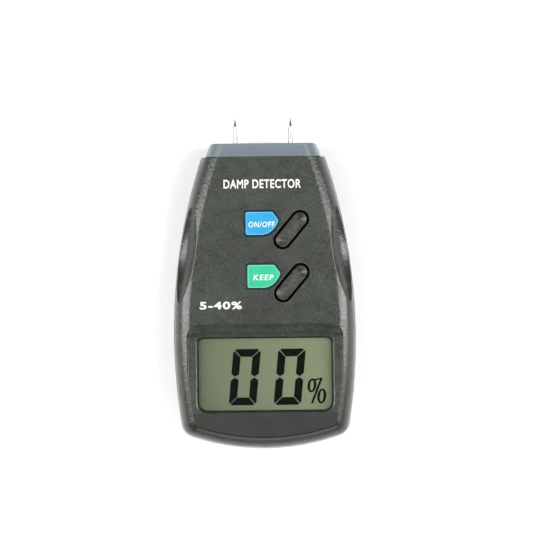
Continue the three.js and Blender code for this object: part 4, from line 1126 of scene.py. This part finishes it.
# A black ring printed round the lens's rim shows 0.3 mm inside the opening: painted shade along the window's
# edge.
border_ink_painted_shade = print_gloss("black border ink as painted shade", "#070807", "#0b0c0b", 0.35, shine=0.1)
lens_low, lens_high = (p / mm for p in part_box("display_window"))
lens_border = lens_high.x - window_half
border_view = 0.3
lens = loft("display_lens", [
    flat_ring(window_outline(grow), z) for grow, z in (
        (lens_border - 0.1, lens_low.z), (lens_border, lens_low.z + 0.1), (lens_border, lens_high.z - 0.1),
        (lens_border - 0.1, lens_high.z), (-border_view, lens_high.z),
    )
])
lens.data.materials.append(acrylic)
lens.data.materials.append(border_ink_painted_shade)
for face in lens.data.polygons:
    face.material_index = 1 if len(face.vertices) == 4 and face.center.z > (lens_high.z - 0.02) * mm else 0
soften(lens)
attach(lens, "meter")
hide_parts("display_window")
dress("lcd_front_glass", cell_glass)
dress("lcd_rear_glass", cell_film)

digit_height = 21.4
digit_width = 10.45
stroke = 2.95
joint_gap = 0.13
digit_lean = math.tan(math.radians(5.5))
digit_low_y = 17.15
segment_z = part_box("lcd_rear_glass")[1].z / mm + 0.06


def plate(points, faces, outline, lean, x0, y0):
    """Adds a flat piece a hair thick to a mesh's lists, leant to the right above the digits' foot."""
    start, count = len(points), len(outline)
    for up in (0, 0.03):
        points += [(x0 + x + (y0 + y - digit_low_y) * lean, y0 + y, segment_z + up) for x, y in outline]
    faces.append(tuple(start + count + i for i in range(count)))
    faces.append(tuple(start + i for i in reversed(range(count))))
    for i in range(count):
        k = (i + 1) % count
        faces.append((start + i, start + k, start + count + k, start + count + i))


def oval(points, faces, centre, reach, line, lean, x0, y0, steps=32):
    """Adds an upright oval drawn as a line, as short plates set end to end without a gap."""
    start = len(points)
    for i in range(steps):
        turn = 2 * math.pi * i / steps
        for k in (0, 1, 1, 0):
            x = x0 + centre[0] + (reach[0] - k * line[0]) * math.cos(turn)
            y = y0 + centre[1] + (reach[1] - k * line[1]) * math.sin(turn)
            up = 0.03 if len(points) % 4 > 1 else 0
            points.append((x + (y - digit_low_y) * lean, y, segment_z + up))
    for i in range(steps):
        a, b = start + 4 * i, start + 4 * ((i + 1) % steps)
        faces += [(a + k, b + k, b + (k + 1) % 4, a + (k + 1) % 4) for k in range(4)]


def draw_zero(points, faces, base_x):
    """The six outer segments of a seven-segment figure, mitred with thin gaps between them."""
    w, h, s, g = digit_width, digit_height, stroke, joint_gap
    mid = h / 2
    chamfer = 1.15
    half = chamfer / 2
    foot = [(chamfer, 0), (w - chamfer, 0), (w - half - g, half - g), (w - s - g, s), (s + g, s),
            (half + g, half - g)]
    side = [(0, chamfer), (half - g, half + g), (s, s + 2 * g), (s, mid - 1.1), (s / 2, mid - 0.2),
            (0, mid - 1.3)]
    over = [(x, h - y) for x, y in foot][::-1]
    shapes = [foot, over]
    for shape in (side[::-1], [(x, h - y) for x, y in side]):
        shapes += [shape, [(w - x, y) for x, y in shape][::-1]]
    for shape in shapes:
        plate(points, faces, shape, digit_lean, base_x, digit_low_y)


def draw_percent(points, faces, x, y):
    """Two tall ovals with a stroke between them, tied to the upper one, 6.9 wide and 9.9 high from
    x and y."""
    lean = 0.1
    for centre, reach in (((0.9, 6.95), (1.7, 2.65)), ((5.0, 2.85), (1.7, 2.85))):
        oval(points, faces, centre, reach, (1.0, 0.68), lean, x, y)
    plate(points, faces, [(1.1, 0.05), (1.95, 0.05), (4.75, 9.85), (3.9, 9.85)], lean, x, y)
    plate(points, faces, [(1.7, 8.6), (3.7, 9.25), (3.9, 9.85), (1.5, 9.25)], lean, x, y)


# The figures are liquid crystal that holds the light back: a dull near-black with hardly any shine.
segments_black, tree = start_material("dark segments")
place = add(tree, "ShaderNodeTexCoord").outputs["Object"]
cloud = add(tree, "ShaderNodeTexNoise",
            {"Scale": 1 / (1.2 * mm), "Detail": 3.0}, {"Vector": place}).outputs["Fac"]
colour = add(tree, "ShaderNodeMix",
             {"data_type": "RGBA", 6: linear("#050705"), 7: linear("#0a0f0b")}, {0: cloud}).outputs[2]
rough = add(tree, "ShaderNodeMapRange", {1: 0.3, 2: 0.7, 3: 0.3, 4: 0.42}, {0: cloud}).outputs[0]
shader = add(tree, "ShaderNodeBsdfPrincipled", {"IOR": 1.5, "Specular IOR Level": 0.05},
             {"Base Color": colour, "Roughness": rough}).outputs[0]
add(tree, "ShaderNodeOutputMaterial", {}, {"Surface": shader})

for figure, draw, base in (("tens", draw_zero, (-14.05,)), ("ones", draw_zero, (3.05,)),
                           ("percent", draw_percent, (16.1, 17.5))):
    points, faces = [], []
    draw(points, faces, *base)
    ink = outward(make_piece("display_" + figure, points, faces))
    coat(ink, segments_black)
    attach(ink, "meter")

# ------------------------------------------------------------------ circuit board and what it carries
# A green glass-epoxy board holds the display, the keypad and the electronics. Hardly any of it can
# be seen once the case is shut.


def moulded(name, low, high, roughness, grain_mm=0.5, depth_mm=0.01):
    """Any small moulded or coated part: one colour that wanders a little, over a fine grain."""
    material, tree = start_material(name)
    place = add(tree, "ShaderNodeTexCoord").outputs["Object"]
    grain = add(tree, "ShaderNodeTexNoise",
                {"Scale": 1 / (grain_mm * mm), "Detail": 4.0}, {"Vector": place}).outputs["Fac"]
    wander = add(tree, "ShaderNodeTexNoise",
                 {"Scale": 1 / (6 * mm), "Detail": 3.0}, {"Vector": place}).outputs["Fac"]
    tone = add(tree, "ShaderNodeMapRange", {1: 0.3, 2: 0.7, 3: 0, 4: 1}, {0: wander}).outputs[0]
    colour = add(tree, "ShaderNodeMix",
                 {"data_type": "RGBA", 6: linear(low), 7: linear(high)}, {0: tone}).outputs[2]
    rough = add(tree, "ShaderNodeMapRange",
                {1: 0.3, 2: 0.7, 3: roughness - 0.06, 4: roughness + 0.08}, {0: grain}).outputs[0]
    relief = add(tree, "ShaderNodeBump",
                 {"Distance": depth_mm * mm, "Strength": 0.6}, {"Height": grain}).outputs[0]
    shader = add(tree, "ShaderNodeBsdfPrincipled", {"IOR": 1.5},
                 {"Base Color": colour, "Roughness": rough, "Normal": relief}).outputs[0]
    add(tree, "ShaderNodeOutputMaterial", {}, {"Surface": shader})
    return material


solder_mask = moulded("green solder mask", "#235c33", "#2c6b3c", 0.35, 1.2, 0.006)
black_epoxy = moulded("black epoxy", "#101010", "#1b1b1b", 0.3, 0.4, 0.008)
shrink_sleeve = moulded("shrink sleeve", "#222c48", "#2c3858", 0.32, 0.8, 0.004)
frame_plastic = moulded("white nylon", "#cfccc2", "#dedbd2", 0.5, 0.3, 0.01)
layered_rubber = moulded("layered contact rubber", "#bdb5a6", "#cfc8ba", 0.7, 0.15, 0.02)
dress("circuit_board", solder_mask)
for node in ("controller_blob", "amplifier_chip", "regulator_chip",
             "resistor_1", "resistor_2", "resistor_3"):
    dress(node, black_epoxy)
dress("filter_capacitor", shrink_sleeve)
dress("lcd_frame", frame_plastic)
dress("lcd_contact_strip", layered_rubber)
for side in ("left", "right"):
    dress("electrode_strap_" + side, turned_brass)
pvc = {
    "white": moulded("white PVC", "#d2d2cb", "#e0e0da", 0.4, 0.6, 0.004),
    "red": moulded("red PVC", "#9c211b", "#b52b23", 0.4, 0.6, 0.004),
    "black": moulded("black PVC", "#111111", "#1c1c1c", 0.4, 0.6, 0.004),
}
for node, colour in (("electrode_lead_left", "white"), ("electrode_lead_right", "white"),
                     ("battery_lead_red", "red"), ("battery_lead_black", "black")):
    dress(node, pvc[colour])

# ------------------------------------------------------------------ battery, terminals and snap
# A plain 9 V block: a printed steel jacket rolled over at both ends. Two plated terminals stand on
# its upper end, with the snap connector pressed over them.

battery_low, battery_high = (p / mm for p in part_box("battery"))
battery_foot_y, battery_top_y = battery_low.y - lower_end, battery_high.y - lower_end
battery_half = (battery_high.x - battery_low.x) / 2
battery_mid_z = (battery_low.z + battery_high.z) / 2
battery_half_depth = (battery_high.z - battery_low.z) / 2
band_height = 14


def battery_ring(inset, y):
    half, deep, corner = battery_half - inset, battery_half_depth - inset, 2.0 - 0.6 * inset
    outline = rounded_box(-half, half, -deep, deep, corner, corner)
    return [(-x, y, battery_mid_z + z) for x, z in outline]


rolled_edge = [(1.3, 0.35), (1.0, 0.35), (0.95, 0.1), (0.6, 0.0), (0.25, 0.08), (0.06, 0.3), (0, 0.6)]
rings = [battery_ring(inset, battery_foot_y + up) for inset, up in rolled_edge]
rings += [battery_ring(0, battery_foot_y + 3.2), battery_ring(0.08, battery_foot_y + 3.3),
          battery_ring(0.08, battery_top_y - 3.3), battery_ring(0, battery_top_y - 3.2)]
rings += [battery_ring(inset, battery_top_y - up) for inset, up in reversed(rolled_edge)]
cell = outward(loft("battery_block", rings))
soften(cell)
# The jacket is tinplate under gloss print, dark with a bronze band, and scuffed by handling.
jacket, tree = start_material("printed steel jacket")
place = add(tree, "ShaderNodeTexCoord").outputs["Object"]
height = add(tree, "ShaderNodeSeparateXYZ", {}, {0: place}).outputs[1]
band_foot = (battery_top_y - band_height + lower_end) * mm
band = add(tree, "ShaderNodeMath", {"operation": "GREATER_THAN", 1: band_foot}, {0: height}).outputs[0]
scuff = add(tree, "ShaderNodeTexNoise",
            {"Scale": 1 / (4 * mm), "Detail": 6.0, "Distortion": 1.0}, {"Vector": place}).outputs["Fac"]
tone = add(tree, "ShaderNodeMapRange", {1: 0.3, 2: 0.7, 3: 0, 4: 1}, {0: scuff}).outputs[0]
dark = add(tree, "ShaderNodeMix",
           {"data_type": "RGBA", 6: linear("#1e2024"), 7: linear("#2a2d33")}, {0: tone}).outputs[2]
bronze = add(tree, "ShaderNodeMix",
             {"data_type": "RGBA", 6: linear("#8a6a3e"), 7: linear("#a27f4e")}, {0: tone}).outputs[2]
both = add(tree, "ShaderNodeMix", {"data_type": "RGBA"}, {0: band, 6: dark, 7: bronze}).outputs[2]
rough = add(tree, "ShaderNodeMapRange", {1: 0.3, 2: 0.7, 3: 0.26, 4: 0.4}, {0: scuff}).outputs[0]
relief = add(tree, "ShaderNodeBump", {"Distance": 0.01 * mm, "Strength": 0.4}, {"Height": scuff}).outputs[0]
shader = add(tree, "ShaderNodeBsdfPrincipled", {"IOR": 1.5, "Metallic": 0.35, "Coat Weight": 0.4},
             {"Base Color": both, "Roughness": rough, "Normal": relief}).outputs[0]
add(tree, "ShaderNodeOutputMaterial", {}, {"Surface": shader})
coat(cell, jacket)
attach(cell, "meter")
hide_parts("battery")
dress("battery_terminal_positive", zinc_steel)
dress("battery_terminal_negative", zinc_steel)
dress("battery_snap", black_epoxy)

# ------------------------------------------------------------------ screws
# Self-tapping pan-head screws, zinc plated, with a cross recess. The four case screws sit deep
# in the back, and the four board screws are hidden inside.

head, deep, shank = 2.3, 1.7, 1.25
thread_pitch = 0.9
cross_reach, cross_half = 1.35, 0.3
for corner in ("lower_left", "lower_right", "upper_left", "upper_right"):
    low, high = (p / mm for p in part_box("case_screw_" + corner))
    x, y = (low.x + high.x) / 2, (low.y + high.y) / 2 - lower_end
    profile = [(0.02, 0.0), (0.8, 0.03), (1.5, 0.16), (2.0, 0.45), (2.22, 0.85), (head, 1.3),
               (head, deep - 0.1), (head - 0.1, deep), (shank, deep)]
    length = high.z - low.z
    for i in range(int((length - deep - 3) / thread_pitch)):
        base = deep + 1.2 + thread_pitch * i
        profile += [(1.0, base), (shank, base + 0.35), (1.0, base + 0.7)]
    profile += [(0.9, length - 1.2), (0.02, length)]
    screw = loft("case_screw_turned_" + corner, [
        flat_ring(arc(x, y, r, 0, 2 * math.pi * 31 / 32, 31), low.z + up) for r, up in profile
    ])
    for dx, dy in ((cross_reach, cross_half), (cross_half, cross_reach)):
        corners = ((-dx, -dy), (dx, -dy), (dx, dy), (-dx, dy))
        boolean(screw, loft("cross", [
            [(x + across * k, y + along * k, low.z + z) for across, along in corners]
            for k, z in ((1.0, -1), (1.0, 0.0), (0.62, 1.1))
        ]))
    soften(screw)
    coat(screw, zinc_steel)
    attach(screw, "meter")
    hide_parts("case_screw_" + corner)
    dress("board_screw_" + corner, zinc_steel)

# ------------------------------------------------------------------ floor, lights and camera
# The meter lies on its back on a pale sheet, between two long soft lights and with a weaker one at
# its lower end, and is looked at square on from above.

floor_mesh = bpy.data.meshes.new("floor")
floor_mesh.from_pydata([(-3, -3, 0), (3, -3, 0), (3, 3, 0), (-3, 3, 0)], [], [(0, 1, 2, 3)])
floor = bpy.data.objects.new("floor", floor_mesh)
bpy.context.scene.collection.objects.link(floor)
# Matt paper, so pale that only the object's shadow shows on it.
floor_paper, tree = start_material("matt paper")
place = add(tree, "ShaderNodeTexCoord").outputs["Object"]
fibre = add(tree, "ShaderNodeTexNoise",
            {"Scale": 1 / (0.8 * mm), "Detail": 4.0}, {"Vector": place}).outputs["Fac"]
colour = add(tree, "ShaderNodeMix",
             {"data_type": "RGBA", 6: linear("#ececeb"), 7: linear("#f0f0ef")}, {0: fibre}).outputs[2]
relief = add(tree, "ShaderNodeBump", {"Distance": 0.01 * mm, "Strength": 0.3}, {"Height": fibre}).outputs[0]
shader = add(tree, "ShaderNodeBsdfPrincipled", {"Roughness": 0.9, "Specular IOR Level": 0.1},
             {"Base Color": colour, "Normal": relief}).outputs[0]
add(tree, "ShaderNodeOutputMaterial", {}, {"Surface": shader})
coat(floor, floor_paper)


def soft_light(name, place, target, width, length, power):
    light = bpy.data.lights.new(name, "AREA")
    light.shape = "RECTANGLE"
    light.size, light.size_y = width, length
    light.energy = power
    holder = bpy.data.objects.new(name, light)
    holder.location = place
    holder.rotation_euler = (Vector(target) - Vector(place)).to_track_quat("-Z", "Y").to_euler()
    bpy.context.scene.collection.objects.link(holder)


soft_light("left_softbox", (-0.72, 0.05, 0.72), (0, 0, 0), 0.26, 1.2, 13)
soft_light("right_softbox", (0.72, 0.05, 0.72), (0, 0, 0), 0.26, 1.2, 13.5)
soft_light("low_softbox", (0.1, -0.78, 0.5), (0, 0, 0), 0.9, 0.35, 2.6)

world = bpy.data.worlds.new("studio")
world.use_nodes = True
world.node_tree.nodes["Background"].inputs["Color"].default_value = (1.0, 1.0, 1.0, 1.0)
world.node_tree.nodes["Background"].inputs["Strength"].default_value = 0.3
bpy.context.scene.world = world
bpy.context.scene.view_settings.view_transform = "Standard"

view_distance = 1.0
view_width = 205.237 * mm
aim_x, aim_y = 0.9, 6.27
roll = math.radians(-0.6)
camera = bpy.data.cameras.new("camera")
camera.sensor_width = 36
camera.lens = 36 * (view_distance - parting_z * mm) / view_width
camera.clip_start, camera.clip_end = 0.05, 20
eye = bpy.data.objects.new("camera", camera)
eye.location = (aim_x * mm, aim_y * mm, view_distance)
eye.rotation_euler = (0, 0, roll)
bpy.context.scene.collection.objects.link(eye)
bpy.context.scene.camera = eye
